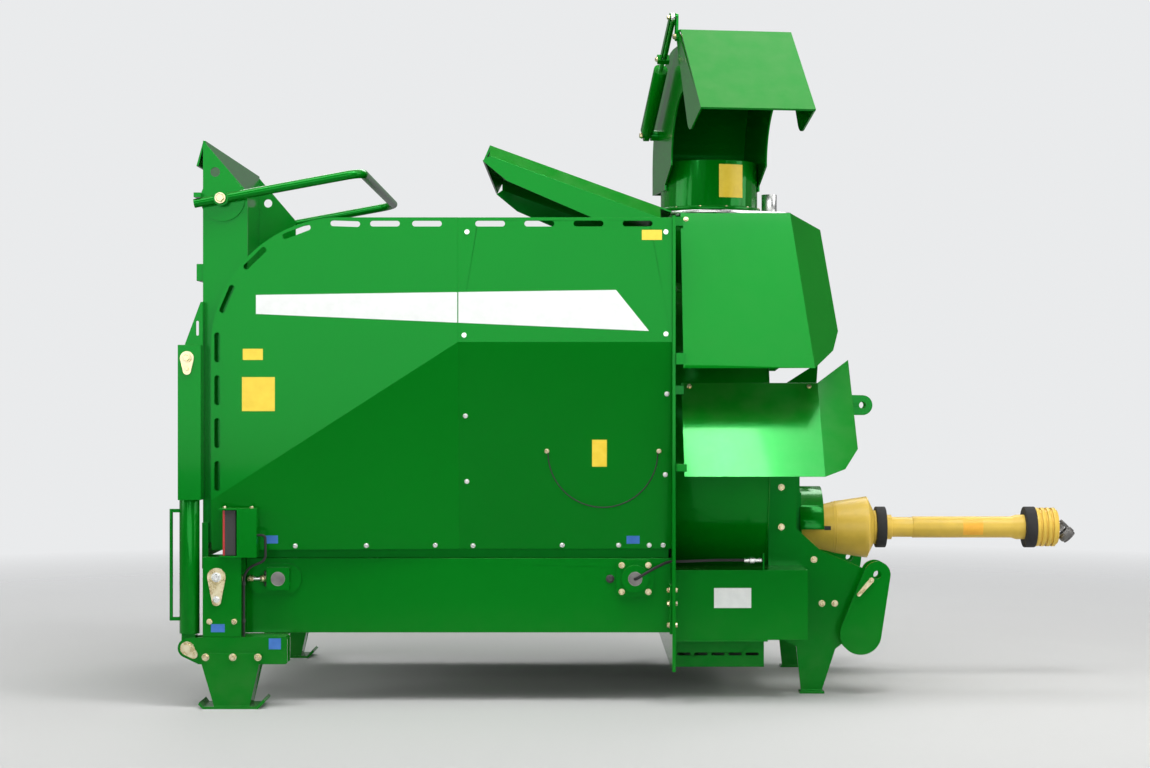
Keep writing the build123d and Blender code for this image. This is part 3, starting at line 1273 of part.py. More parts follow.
# End yoke: hangs from the cross, turned down from the shaft's line
YOKE_TILT = 45
YOKE_START = 22
YOKE_END = (PTO_TIP_X - CROSS_X - YOKE_R * sin(radians(YOKE_TILT))) / cos(radians(YOKE_TILT))
YOKE_DIR = (cos(radians(YOKE_TILT)), 0, -sin(radians(YOKE_TILT)))
YOKE = Plane(origin=(CROSS_X, 0, PTO_Z), x_dir=(0, 1, 0), z_dir=YOKE_DIR)
YOKE_ARM = Plane(origin=YOKE.origin, x_dir=(0, 1, 0), z_dir=YOKE.y_dir)
LOCK_RING = (30, 48, 31)
with BuildPart() as pto_yoke:
    with BuildSketch(YOKE.offset(YOKE_START)) as sleeve:
        Circle(YOKE_R)
    extrude(sleeve.sketch, amount=YOKE_END - YOKE_START)
    ring_start, ring_end, ring_r = LOCK_RING
    with BuildSketch(YOKE.offset(ring_start)) as ring:
        Circle(ring_r)
    extrude(ring.sketch, amount=ring_end - ring_start)
    for start in (ARM_GAP, -YOKE_R):
        with BuildSketch(YOKE_ARM.offset(start)) as ear:
            Circle(ARM_R)
            with Locations((0, -YOKE_START / 2 - 1)):
                Rectangle(2 * ARM_R, YOKE_START + 2)
        extrude(ear.sketch, amount=YOKE_R - ARM_GAP)
    with BuildSketch(YOKE_ARM.offset(-YOKE_R)) as cross:
        Circle(CROSS_R)
    extrude(cross.sketch, amount=2 * YOKE_R)
    bar_y(CROSS_X, PTO_Z, CROSS_R, (-YOKE_R, YOKE_R))
    with BuildSketch(YOKE.offset(YOKE_START)) as bore:
        Circle(PTO_BORE_R)
    extrude(bore.sketch, amount=YOKE_END - YOKE_START, mode=Mode.SUBTRACT)
save(pto_yoke, "pto_yoke")

# Chute, flap and flap ram in the chute's own frame: x across, -y toward the outlet
CHUTE = Plane(
    origin=(CHUTE_X, 0, CHUTE_Z + TURN_GAP),
    x_dir=(cos(radians(CHUTE_TURN)), sin(radians(CHUTE_TURN)), 0),
    z_dir=(0, 0, 1),
)
CHUTE_SIDE = Plane(origin=CHUTE.origin, x_dir=CHUTE.y_dir, z_dir=CHUTE.x_dir)
SPOUT_BACK = NECK_R
BEND_R = SPOUT_TOP - SPOUT_BEND_Z
LIP_START = 60
LIP_RISE = 100
SPOUT_FOOT = 80
NECK_CLEAR = 1
NECK_IN = NECK_R - SHEET - NECK_CLEAR
HINGE_LUG_X = (100, 112)
HINGE_LUG_R = 14
STAY = (-335, 622)
STAY_R = 8
STAY_HALF = 172
BOSS_R = 20
BOSS_END_X = -208
BASE_PIN_R = 10
BASE_EYE_HALF = 10


def across(xs, mode=Mode.ADD, circles=None, points=None):
    """Add a plate between two limits across the chute, outlined by circles or points."""
    with BuildSketch(CHUTE_SIDE.offset(xs[0])) as outline:
        if points:
            Polygon(*points, align=None)
        else:
            for y, z, radius in circles:
                with Locations((y, z)):
                    Circle(radius)
            make_hull()
    extrude(outline.sketch, amount=xs[1] - xs[0], mode=mode)


with BuildPart() as chute_neck:
    with BuildSketch(CHUTE):
        Circle(NECK_R)
        Circle(NECK_R - SHEET, mode=Mode.SUBTRACT)
    extrude(amount=NECK_HEIGHT)
    with BuildSketch(CHUTE):
        Circle(FLANGE_R)
        Circle(OUTLET_R - CASE_SHEET, mode=Mode.SUBTRACT)
    extrude(amount=FLANGE_THICK)
    with BuildSketch(CHUTE.offset(SPOUT_FOOT - TURN_GAP)):
        Rectangle(4 * NECK_R, 4 * NECK_R)
        with Locations((0, NECK_IN - 2 * NECK_R)):
            Rectangle(2 * NECK_IN, 4 * NECK_R, mode=Mode.SUBTRACT)
    extrude(amount=NECK_HEIGHT, mode=Mode.SUBTRACT)
save(chute_neck, "chute_neck")

with BuildPart() as chute_spout:
    with BuildSketch(CHUTE_SIDE.offset(-NECK_R)):
        with BuildLine():
            Polyline((-LIP_START, SPOUT_FOOT), (SPOUT_BACK, SPOUT_FOOT), (SPOUT_BACK, SPOUT_BEND_Z))
            CenterArc((SPOUT_BEND_Y, SPOUT_BEND_Z), BEND_R, 0, 90)
            Polyline(
                (SPOUT_BEND_Y, SPOUT_TOP),
                (SPOUT_END_Y, SPOUT_TOP),
                (LIP_BEND_Y, SPOUT_BEND_Z + LIP_BEND_R),
            )
            CenterArc((LIP_BEND_Y, SPOUT_BEND_Z), LIP_BEND_R, 0, 90)
            Polyline(
                (LIP_BEND_Y + LIP_BEND_R, SPOUT_BEND_Z),
                (-LIP_START, LIP_RISE),
                (-LIP_START, SPOUT_FOOT),
            )
        make_face()
    extrude(amount=2 * NECK_R)
    with BuildSketch(CHUTE_SIDE.offset(-NECK_R + SHEET)):
        with BuildLine():
            Polyline((SPOUT_BACK - SHEET, 0), (SPOUT_BACK - SHEET, SPOUT_BEND_Z))
            CenterArc((SPOUT_BEND_Y, SPOUT_BEND_Z), BEND_R - SHEET, 0, 90)
            Polyline(
                (SPOUT_BEND_Y, SPOUT_TOP - SHEET),
                (2 * SPOUT_END_Y, SPOUT_TOP - SHEET),
                (2 * SPOUT_END_Y, 0),
                (SPOUT_BACK - SHEET, 0),
            )
        make_face()
    extrude(amount=2 * (NECK_R - SHEET), mode=Mode.SUBTRACT)
    for side in (-1, 1):
        stay = sorted((side * STAY_HALF, side * (STAY_HALF - SHEET)))
        across(
            stay,
            circles=[(*STAY, 2 * STAY_R), (STAY[0], SPOUT_TOP - SHEET / 2, STAY_R)],
        )
        lug = sorted((side * HINGE_LUG_X[0], side * HINGE_LUG_X[1]))
        across(
            lug,
            circles=[
                (*FLAP_HINGE, HINGE_LUG_R),
                (SPOUT_END_Y + 2 * HINGE_LUG_R, SPOUT_TOP - SHEET / 2, 1),
                (SPOUT_END_Y + 4 * HINGE_LUG_R, SPOUT_TOP - SHEET / 2, 1),
            ],
        )
        across(lug, Mode.SUBTRACT, circles=[(*FLAP_HINGE, FLAP_PIN_R + RUN_GAP)])
    across((-STAY_HALF, STAY_HALF), circles=[(*STAY, STAY_R)])
    across((BOSS_END_X, -NECK_R), circles=[(*RAM_BASE, BOSS_R)])
    across((FLAP_RAM_X - BASE_EYE_HALF - SHEET, BOSS_END_X), circles=[(*RAM_BASE, BASE_PIN_R)])
save(chute_spout, "chute_spout")

# Flap over the outlet with side ears, hinge rod and ram lever
STRIP_RISE = 20
STRIP_FOLD_Y = -456
LEVER_R = 16
with BuildPart() as chute_flap:
    across(
        (-FLAP_HALF, FLAP_HALF),
        points=[
            (FLAP_HINGE[0] + STRIP_RISE, FLAP_HINGE[1] + STRIP_RISE + SHEET),
            (STRIP_FOLD_Y, FLAP_HINGE[1] + STRIP_RISE - 2),
            FLAP_TIP,
            (FLAP_TIP[0] + SHEET, FLAP_TIP[1] - SHEET),
            (STRIP_FOLD_Y + SHEET / 2, FLAP_HINGE[1] + STRIP_RISE - 2 - SHEET),
            (FLAP_HINGE[0] + STRIP_RISE, FLAP_HINGE[1] + STRIP_RISE),
        ],
    )
    for side in (-1, 1):
        across(
            sorted((side * FLAP_HALF, side * (FLAP_HALF - SHEET))),
            circles=[
                (*FLAP_HINGE, STRIP_RISE),
                (*FLAP_EAR, FLAP_EAR_R),
                (FLAP_TIP[0] + 2 * SHEET, FLAP_TIP[1], SHEET),
            ],
        )
    across((-FLAP_HALF, FLAP_HALF), circles=[(*FLAP_HINGE, FLAP_PIN_R)])
    across((-FLAP_HALF - PLATE, -FLAP_HALF), circles=[(*FLAP_HINGE, LEVER_R), (*FLAP_LEVER, LEVER_R)])
save(chute_flap, "chute_flap")

# Flap ram beside the spout: barrel on the boss, rod to the lever
RAM_RUN = hypot(FLAP_LEVER[0] - RAM_BASE[0], FLAP_LEVER[1] - RAM_BASE[1])
RAM_TILT = (
    (FLAP_LEVER[0] - RAM_BASE[0]) / RAM_RUN,
    (FLAP_LEVER[1] - RAM_BASE[1]) / RAM_RUN,
)
FLAP_BARREL = (28, 360)
FLAP_BORE_LOW = 70
FLAP_ROD_LOW = 200
EYE_HALF = 7


def on_ram(run):
    """Give the plane across the flap ram at a distance from its base pin."""
    point = CHUTE_SIDE.from_local_coords(
        Vector(RAM_BASE[0] + run * RAM_TILT[0], RAM_BASE[1] + run * RAM_TILT[1], FLAP_RAM_X)
    )
    direction = CHUTE_SIDE.x_dir * RAM_TILT[0] + CHUTE_SIDE.y_dir * RAM_TILT[1]
    return Plane(origin=point, x_dir=CHUTE_SIDE.z_dir, z_dir=direction)


def along_ram(runs, radius, mode=Mode.ADD):
    """Add a round bar along the flap ram."""
    with BuildSketch(on_ram(runs[0])) as circle:
        Circle(radius)
    extrude(circle.sketch, amount=runs[1] - runs[0], mode=mode)


with BuildPart() as flap_barrel:
    across(
        (FLAP_RAM_X - BASE_EYE_HALF, FLAP_RAM_X + BASE_EYE_HALF),
        circles=[(*RAM_BASE, BOSS_R + 2)],
    )
    along_ram((BASE_PIN_R, FLAP_BARREL[0] + 1), BASE_EYE_HALF - 1)
    along_ram(FLAP_BARREL, FLAP_BARREL_R)
    across(
        (FLAP_RAM_X - BASE_EYE_HALF, FLAP_RAM_X + BASE_EYE_HALF),
        Mode.SUBTRACT,
        circles=[(*RAM_BASE, BASE_PIN_R + RUN_GAP)],
    )
    along_ram((FLAP_BORE_LOW, FLAP_BARREL[1]), FLAP_ROD_R + ROD_GAP, Mode.SUBTRACT)
save(flap_barrel, "flap_barrel")

with BuildPart() as flap_rod:
    along_ram((FLAP_ROD_LOW, RAM_RUN), FLAP_ROD_R)
    across((FLAP_RAM_X - EYE_HALF, FLAP_RAM_X + EYE_HALF), circles=[(*FLAP_LEVER, LEVER_R)])
    across(
        (FLAP_RAM_X - EYE_HALF, FLAP_RAM_X + EYE_HALF),
        Mode.SUBTRACT,
        circles=[(*FLAP_LEVER, FLAP_PIN_R)],
    )
save(flap_rod, "flap_rod")
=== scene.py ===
"""Looks of a tractor mounted bale processor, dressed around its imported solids.

Every solid keeps its place. This file gives each one a finish and adds the bolts, welds, chain links,
threads, blank stickers and small fittings that the solids leave out.
"""

import json
import logging
import math
from collections.abc import Iterable, Sequence
from dataclasses import dataclass, field
from enum import Enum
from typing import ClassVar

import bmesh
import bpy
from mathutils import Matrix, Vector
from mathutils.bvhtree import BVHTree

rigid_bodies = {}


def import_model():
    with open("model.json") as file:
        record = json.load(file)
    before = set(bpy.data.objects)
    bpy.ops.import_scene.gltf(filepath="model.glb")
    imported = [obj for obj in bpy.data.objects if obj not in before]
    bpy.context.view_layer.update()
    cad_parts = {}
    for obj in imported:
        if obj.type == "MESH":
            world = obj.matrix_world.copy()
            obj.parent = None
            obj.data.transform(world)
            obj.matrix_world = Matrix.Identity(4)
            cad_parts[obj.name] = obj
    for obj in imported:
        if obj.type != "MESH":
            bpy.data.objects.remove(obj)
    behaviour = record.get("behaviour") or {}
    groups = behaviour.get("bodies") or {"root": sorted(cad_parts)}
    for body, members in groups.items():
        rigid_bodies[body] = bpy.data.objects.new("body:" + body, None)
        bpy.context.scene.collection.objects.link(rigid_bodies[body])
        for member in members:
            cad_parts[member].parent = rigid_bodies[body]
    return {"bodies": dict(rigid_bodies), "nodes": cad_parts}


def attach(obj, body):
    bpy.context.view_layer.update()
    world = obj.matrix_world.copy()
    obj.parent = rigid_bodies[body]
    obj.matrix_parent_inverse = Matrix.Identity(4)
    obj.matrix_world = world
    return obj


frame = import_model()
log = logging.getLogger("bale_processor")

Colour = tuple[float, float, float]
Point = tuple[float, float]
Triple = tuple[float, float, float]
Socket = bpy.types.NodeSocket
Form = bmesh.types.BMesh

MM = 0.001
ROOT = "root"
FORWARD, UP = Vector((1, 0, 0)), Vector((0, 0, 1))
SOCKET_TYPES = {float: "NodeSocketFloat", int: "NodeSocketInt"}
DUST_COLOUR: Colour = (0.30, 0.27, 0.20)
COAT_ROUGHNESS = 0.06


class Side(Enum):
    """The two sides of the machine, by the sign of Y."""

    RIGHT = -1
    LEFT = 1


class Aim(Enum):
    """Directions in which a small piece is pressed onto a face."""

    FROM_RIGHT = (0, 1, 0)
    FROM_LEFT = (0, -1, 0)
    FROM_FRONT = (-1, 0, 0)
    FROM_REAR = (1, 0, 0)
    FROM_ABOVE = (0, 0, -1)
    FROM_BELOW = (0, 0, 1)


class Texture(Enum):
    """Kinds of surface that a finish can have."""

    ENAMEL = "sprayed enamel"
    MOULDED = "moulded plastic"
    RUBBER = "rubber"
    PLATED = "zinc plate"
    GROUND = "ground rod"
    WORN = "bare steel"
    LENS = "ribbed lens"
    FOIL = "printed foil"


@dataclass
class Wiring:
    """Adds nodes to one shader or geometry tree and joins their sockets."""

    tree: bpy.types.NodeTree | None = None

    def put(self, socket: Socket, value: object) -> None:
        """Join a socket to another one, or set its value.

        Args:
            socket: the input to feed.
            value: an output socket or a plain value.
        """
        if isinstance(value, Socket):
            self.tree.links.new(value, socket)
        else:
            socket.default_value = value

    def add(self, kind: str, inputs: dict[str | int, object] | None = None, **settings: object) -> bpy.types.Node:
        """Add a node with its settings and inputs.

        Args:
            kind: the node's type name.
            inputs: values or output sockets by input name or place.
            settings: the node's own properties.

        Returns:
            The new node.
        """
        node = self.tree.nodes.new(kind)
        for key, value in settings.items():
            setattr(node, key, value)
        for key, value in (inputs or {}).items():
            self.put(node.inputs[key], value)
        return node

    def out(self, kind: str, inputs: dict[str | int, object] | None = None, take: str | int = 0,
            **settings: object) -> Socket:
        """Add a node and return one of its outputs, by name or place."""
        return self.add(kind, inputs, **settings).outputs[take]

    def math(self, operation: str, *terms: object, clamp: bool = False) -> Socket:
        """Add a math node and return its result, between 0 and 1 if it is clamped."""
        return self.out("ShaderNodeMath", dict(enumerate(terms)), operation=operation, use_clamp=clamp)

    def spread(self, value: object, low: float, high: float, to_low: float = 0.0, to_high: float = 1.0) -> Socket:
        """Map a value from one range onto another and return it."""
        return self.out("ShaderNodeMapRange", {0: value, 1: low, 2: high, 3: to_low, 4: to_high})

    def mix(self, factor: object, first: object, second: object) -> Socket:
        """Mix two colours by the share of the second and return the result."""
        return self.out("ShaderNodeMix", {0: factor, 6: first, 7: second}, 2, data_type="RGBA")

    def spot(self) -> Socket:
        """Return coordinates in the machine's own frame."""
        return self.out("ShaderNodeTexCoord", take="Object")

    def noise(self, scale: object, detail: float = 2.0, vector: Socket | None = None) -> Socket:
        """Return noise by its grains per metre and octaves, in the machine's frame or in other coordinates."""
        return self.out("ShaderNodeTexNoise", {"Vector": vector or self.spot(), "Scale": scale, "Detail": detail})


class NodeGroup(Wiring):
    """A node tree with named sockets, built at its first use."""

    kind: str = "ShaderNodeTree"
    output_type: str = "NodeSocketFloat"
    name: str = ""
    inputs: dict[str, float] = {}
    outputs: tuple[str, ...] = ()
    source: bpy.types.NodeOutputs

    def fill(self) -> dict[str, Socket]:
        """Wire the inside and return what each output gets."""
        raise NotImplementedError

    def sockets(self) -> dict[str, tuple[str, object]]:
        """Return the type and first value of each input."""
        return {label: (SOCKET_TYPES[type(value)], value) for label, value in self.inputs.items()}

    def made(self) -> bpy.types.NodeTree:
        """Build the tree once.

        Returns:
            The tree.
        """
        made = bpy.data.node_groups.get(self.name)
        if made:
            return made
        self.tree = bpy.data.node_groups.new(self.name, self.kind)
        for label, (kind, value) in self.sockets().items():
            socket = self.tree.interface.new_socket(label, in_out="INPUT", socket_type=kind)
            if value is not None:
                socket.default_value = value
        for label in self.outputs:
            self.tree.interface.new_socket(label, in_out="OUTPUT", socket_type=self.output_type)
        self.source = self.add("NodeGroupInput").outputs
        target = self.add("NodeGroupOutput").inputs
        for label, socket in self.fill().items():
            self.put(target[label], socket)
        return self.tree

    def place(self, wiring: Wiring, **values: float) -> bpy.types.NodeOutputs:
        """Put the group in a material.

        Args:
            wiring: the material's wiring.
            values: the group's inputs for this material, with _ for a space.

        Returns:
            The placed group's outputs.
        """
        node = wiring.add("ShaderNodeGroup", node_tree=self.made())
        for label, value in values.items():
            node.inputs[label.replace("_", " ")].default_value = value
        return node.outputs


class SurfaceTone(NodeGroup):
    """Slow drift of a colour over a large piece."""

    name = "surface_tone"
    inputs = {"Scale": 1.5, "Contrast": 1.0}
    outputs = ("Tone",)

    def fill(self) -> dict[str, Socket]:
        """Wire broad noise into one even tone.

        Returns:
            The tone.
        """
        even = self.spread(self.noise(self.source["Scale"], 3.0), 0.3, 0.7)
        middle = self.math("SUBTRACT", even, 0.5)
        return {"Tone": self.math("MULTIPLY_ADD", middle, self.source["Contrast"], 0.5, clamp=True)}


class OrangePeel(NodeGroup):
    """Fine ripple of sprayed enamel over slightly wavy sheet."""

    name = "orange_peel"
    inputs = {"Peel Scale": 380.0, "Wave Scale": 2.4, "Wave Share": 8.0}
    outputs = ("Height",)

    def fill(self) -> dict[str, Socket]:
        """Wire the peel and the wave into one height.

        Returns:
            The height.
        """
        peel = self.noise(self.source["Peel Scale"], 1.0)
        wave = self.noise(self.source["Wave Scale"], 1.0)
        return {"Height": self.math("MULTIPLY_ADD", wave, self.source["Wave Share"], peel)}


class EdgeHighlightAndWear(NodeGroup):
    """Mask of a piece's edges: it lays a painted highlight along enamel edges, paler edges on plastic and bright worn
    edges on bare steel.
    """

    name = "edge_highlight_and_wear"
    inputs = {"Radius": 0.003, "Gain": 5.0, "Break Scale": 30.0}
    outputs = ("Mask",)

    def fill(self) -> dict[str, Socket]:
        """Wire the bend of the rounded normal, broken up by noise.

        Returns:
            The mask.
        """
        rounded = self.out("ShaderNodeBevel", {"Radius": self.source["Radius"]}, samples=4)
        flat = self.out("ShaderNodeNewGeometry", take="Normal")
        turn = self.out("ShaderNodeVectorMath", {0: rounded, 1: flat}, "Value", operation="DOT_PRODUCT")
        bend = self.math("MULTIPLY", self.math("SUBTRACT", 1.0, turn), self.source["Gain"], clamp=True)
        patches = self.spread(self.noise(self.source["Break Scale"], 4.0), 0.35, 0.65, 0.15)
        return {"Mask": self.math("MULTIPLY", bend, patches)}


class SettledDust(NodeGroup):
    """Mask of the dust that settles on faces that look up, and near the ground."""

    name = "settled_dust"
    inputs = {"Amount": 0.2, "Ground Height": 0.35, "Scale": 14.0}
    outputs = ("Mask",)

    def fill(self) -> dict[str, Socket]:
        """Wire the upward share of the normal and the height above ground.

        Returns:
            The mask.
        """
        normal = self.out("ShaderNodeNewGeometry", take="Normal")
        flat = self.spread(self.out("ShaderNodeSeparateXYZ", {0: normal}, "Z"), 0.3, 1.0)
        height = self.out("ShaderNodeSeparateXYZ", {0: self.spot()}, "Z")
        low = self.math("SUBTRACT", 1.0, self.math("DIVIDE", height, self.source["Ground Height"]), clamp=True)
        share = self.math("ADD", flat, self.math("MULTIPLY", low, 0.6), clamp=True)
        cloud = self.spread(self.noise(self.source["Scale"], 5.0), 0.35, 0.7, 0.2)
        mask = self.math("MULTIPLY", share, cloud)
        return {"Mask": self.math("MULTIPLY", mask, self.source["Amount"], clamp=True)}


class FineGrain(NodeGroup):
    """Fine texture of moulded plastic and rubber."""

    name = "fine_grain"
    inputs = {"Scale": 700.0, "Mottle Scale": 25.0}
    outputs = ("Height", "Mottle")

    def fill(self) -> dict[str, Socket]:
        """Wire a pitted height and a slow mottle.

        Returns:
            Both of them.
        """
        scale = self.source["Scale"]
        cells = self.out("ShaderNodeTexVoronoi", {"Vector": self.spot(), "Scale": scale}, "Distance")
        mottle = self.noise(self.source["Mottle Scale"], 4.0)
        return {
            "Height": self.math("ADD", cells, self.noise(scale, 3.0)),
            "Mottle": self.spread(mottle, 0.3, 0.7),
        }


class DrawnLines(NodeGroup):
    """Fine lines left by drawing or grinding, mostly along one way."""

    name = "drawn_lines"
    inputs = {"Scale": 60.0, "Stretch X": 1.0, "Stretch Y": 1.0, "Stretch Z": 20.0}
    outputs = ("Line",)

    def fill(self) -> dict[str, Socket]:
        """Wire noise in stretched coordinates.

        Returns:
            The lines.
        """
        stretches = {index: self.source[f"Stretch {axis}"] for index, axis in enumerate("XYZ")}
        stretch = self.out("ShaderNodeCombineXYZ", stretches)
        drawn = self.out("ShaderNodeVectorMath", {0: self.spot(), 1: stretch}, operation="MULTIPLY")
        return {"Line": self.spread(self.noise(self.source["Scale"], 3.0, drawn), 0.3, 0.7)}


TONE, PEEL, EDGE_HIGHLIGHT_AND_WEAR = SurfaceTone(), OrangePeel(), EdgeHighlightAndWear()
DUST, GRAIN, LINES = SettledDust(), FineGrain(), DrawnLines()


def shade(colour: Colour, share: float = 1.0) -> tuple[float, float, float, float]:
    """Return a colour with full alpha, lighter or darker by a share."""
    red, green, blue = (min(1.0, value * share) for value in colour)
    return red, green, blue, 1.0


@dataclass(frozen=True)
class Finish:
    """One finish of the machine: its colours, its gloss and the kind of surface."""

    name: str
    slot: str | None
    texture: Texture
    colour: Colour
    accent: Colour
    roughness: float
    metallic: float = 0.0
    coat: float = 0.0
    shine: float = 0.5
    tint: Colour = (1.0, 1.0, 1.0)

    def material(self) -> bpy.types.Material:
        """Build the finish's material once.

        Returns:
            The material.
        """
        made = bpy.data.materials.get(self.name)
        if made:
            return made
        material = bpy.data.materials.new(self.name)
        material.use_nodes = True
        Painter(self, material).paint()
        return material


class Painter(Wiring):
    """Wires one finish into the shader of its material."""

    def __init__(self, finish: Finish, material: bpy.types.Material) -> None:
        """Keep the finish and the material's shader.

        Args:
            finish: the finish.
            material: its material.
        """
        super().__init__(material.node_tree)
        self.finish = finish
        self.inputs = material.node_tree.nodes["Principled BSDF"].inputs

    def paint(self) -> None:
        """Set what is even over the surface, and wire the rest by the kind of surface."""
        finish = self.finish
        even = {
            "Metallic": finish.metallic, "Coat Weight": finish.coat, "Coat Roughness": COAT_ROUGHNESS,
            "Specular IOR Level": finish.shine, "Specular Tint": shade(finish.tint),
        }
        for label, value in even.items():
            self.put(self.inputs[label], value)
        painters = {
            Texture.ENAMEL: self.enamel, Texture.MOULDED: self.moulded, Texture.RUBBER: self.rubber,
            Texture.PLATED: self.plated, Texture.GROUND: self.ground, Texture.WORN: self.worn,
            Texture.LENS: self.lens, Texture.FOIL: self.foil,
        }
        painters[finish.texture]()

    def toned(self, mask: Socket, low: float, high: float) -> Socket:
        """Return the finish's colour between two shares of itself."""
        return self.mix(mask, shade(self.finish.colour, low), shade(self.finish.colour, high))

    def accented(self, mask: Socket, share: float = 1.0) -> Socket:
        """Return the finish's colour, at a share, turning into its accent."""
        return self.mix(mask, shade(self.finish.colour, share), shade(self.finish.accent))

    def edged(self, base: Socket, radius: float, gain: float, share: float = 1.0) -> Socket:
        """Return a colour with the accent on the piece's edges."""
        edge = EDGE_HIGHLIGHT_AND_WEAR.place(self, Radius=radius, Gain=gain)["Mask"]
        return self.mix(self.math("MULTIPLY", edge, share), base, shade(self.finish.accent))

    def dusted(self, base: Socket, amount: float, share: float = 1.0) -> tuple[Socket, Socket]:
        """Return a colour with settled dust on it, and the dust's mask."""
        dust = DUST.place(self, Amount=amount)["Mask"]
        return self.mix(dust, base, shade(DUST_COLOUR, share)), dust

    def rough(self, mask: Socket, low: float, high: float) -> Socket:
        """Return the finish's roughness, with what a mask adds to it."""
        return self.spread(mask, 0.0, 1.0, self.finish.roughness + low, self.finish.roughness + high)

    def feed(self, colour: Socket, rough: Socket, height: Socket, strength: float, depth: float) -> None:
        """Feed the shader.

        Args:
            colour: its base colour.
            rough: its roughness.
            height: the height of its bump.
            strength: share of the bump.
            depth: the bump's depth in metres.
        """
        self.put(self.inputs["Base Color"], colour)
        self.put(self.inputs["Roughness"], rough)
        raised = self.out("ShaderNodeBump", {"Height": height, "Strength": strength, "Distance": depth})
        self.put(self.inputs["Normal"], raised)

    def enamel(self) -> None:
        """Wire gloss enamel with orange peel, a painted highlight on its edges and a little dust."""
        tone = TONE.place(self, Scale=1.1, Contrast=0.9)["Tone"]
        fleck = self.spread(self.noise(160.0), 0.3, 0.7)
        # The lighter accent laid along the edges is a painted highlight.
        base = self.edged(self.toned(tone, 0.93, 1.07), radius=0.0025, gain=3.0, share=0.4)
        colour, dust = self.dusted(base, amount=0.10)
        rough = self.math("MULTIPLY_ADD", dust, 0.8, self.rough(fleck, -0.03, 0.05), clamp=True)
        self.feed(colour, rough, PEEL.place(self)["Height"], strength=0.1, depth=0.0006)

    def moulded(self) -> None:
        """Wire grained plastic with faintly paler edges."""
        grain = GRAIN.place(self, Scale=900.0)
        base = self.edged(self.toned(grain["Mottle"], 0.95, 1.05), radius=0.002, gain=2.5, share=0.5)
        colour, _ = self.dusted(base, amount=0.12)
        self.feed(colour, self.rough(grain["Mottle"], 0.0, 0.1), grain["Height"], strength=0.12, depth=0.0004)

    def rubber(self) -> None:
        """Wire matt rubber that greys a little."""
        grain = GRAIN.place(self, Scale=500.0, Mottle_Scale=40.0)
        colour, _ = self.dusted(self.accented(grain["Mottle"]), amount=0.18, share=0.7)
        self.feed(colour, self.rough(grain["Mottle"], -0.08, 0.0), grain["Height"], strength=0.2, depth=0.0005)

    def plated(self) -> None:
        """Wire zinc plate with a bloom."""
        bloom = TONE.place(self, Scale=55.0, Contrast=1.4)["Tone"]
        cloud = TONE.place(self, Scale=9.0, Contrast=1.0)["Tone"]
        pale = shade(self.finish.colour, 1.25)
        colour = self.mix(self.math("MULTIPLY", cloud, 0.35), self.accented(bloom), pale)
        self.feed(colour, self.rough(bloom, -0.06, 0.1), self.noise(900.0), strength=0.08, depth=0.0003)

    def ground(self) -> None:
        """Wire a ground rod with fine rings."""
        rings = LINES.place(self, Scale=40.0, Stretch_Z=60.0)["Line"]
        self.feed(self.accented(rings, 0.94), self.rough(rings, 0.0, 0.08), rings, strength=0.04, depth=0.0002)

    def worn(self) -> None:
        """Wire bare steel, bright on its edges and dark with oxide elsewhere."""
        lines = LINES.place(self, Scale=30.0, Stretch_Z=9.0)["Line"]
        oxide = TONE.place(self, Scale=12.0, Contrast=1.8)["Tone"]
        base = self.edged(self.toned(oxide, 0.8, 1.3), radius=0.004, gain=6.0)
        colour, _ = self.dusted(base, amount=0.25, share=0.9)
        rough = self.math("MULTIPLY_ADD", lines, 0.1, self.rough(oxide, 0.12, -0.08))
        self.feed(colour, rough, self.math("ADD", lines, oxide), strength=0.15, depth=0.0005)

    def lens(self) -> None:
        """Wire a ribbed red lens, with a painted glint of the prisms behind it."""
        place = self.spot()
        ribs = self.out("ShaderNodeTexWave", {"Vector": place, "Scale": 26.0}, "Fac", bands_direction="Z",
                        wave_profile="SIN")
        cells = self.out("ShaderNodeTexVoronoi", {"Vector": place, "Scale": 170.0}, "Distance")
        # Brighter red where ribs and cells meet is a painted glint of the prisms, not light from the lamp.
        prism_glint = self.math("MULTIPLY", ribs, cells, clamp=True)
        self.feed(self.accented(prism_glint), self.rough(cells, 0.0, 0.12), ribs, strength=0.5, depth=0.002)

    def foil(self) -> None:
        """Wire printed foil with a slight lift and rub marks."""
        rub = TONE.place(self, Scale=35.0, Contrast=1.2)["Tone"]
        self.feed(self.accented(rub), self.rough(rub, -0.05, 0.08), self.noise(30.0, 1.0), strength=0.05, depth=0.0008)


# The green enamel's lighter accent goes only on edges, as a painted highlight.
GREEN = Finish("green_enamel", "green_paint", Texture.ENAMEL, (0.0, 0.138, 0.004), (0.01, 0.24, 0.02), 0.17, coat=0.1,
               shine=0.62, tint=(0.05, 1.0, 0.18))
YELLOW = Finish("yellow_guard_plastic", "yellow_plastic", Texture.MOULDED, (0.70, 0.47, 0.065), (0.80, 0.60, 0.14),
                0.34, shine=0.35)
RUBBER = Finish("black_rubber", "black_rubber", Texture.RUBBER, (0.012, 0.012, 0.013), (0.03, 0.03, 0.032), 0.62)
ZINC = Finish("yellow_zinc", "zinc_plate", Texture.PLATED, (0.56, 0.47, 0.25), (0.68, 0.63, 0.46), 0.28, metallic=1.0)
SILVER = Finish("bright_zinc", "zinc_plate", Texture.PLATED, (0.66, 0.67, 0.66), (0.78, 0.78, 0.76), 0.28,
                metallic=1.0)
ROD = Finish("ground_rod", "ground_rod", Texture.GROUND, (0.72, 0.73, 0.74), (0.82, 0.83, 0.84), 0.10, metallic=1.0)
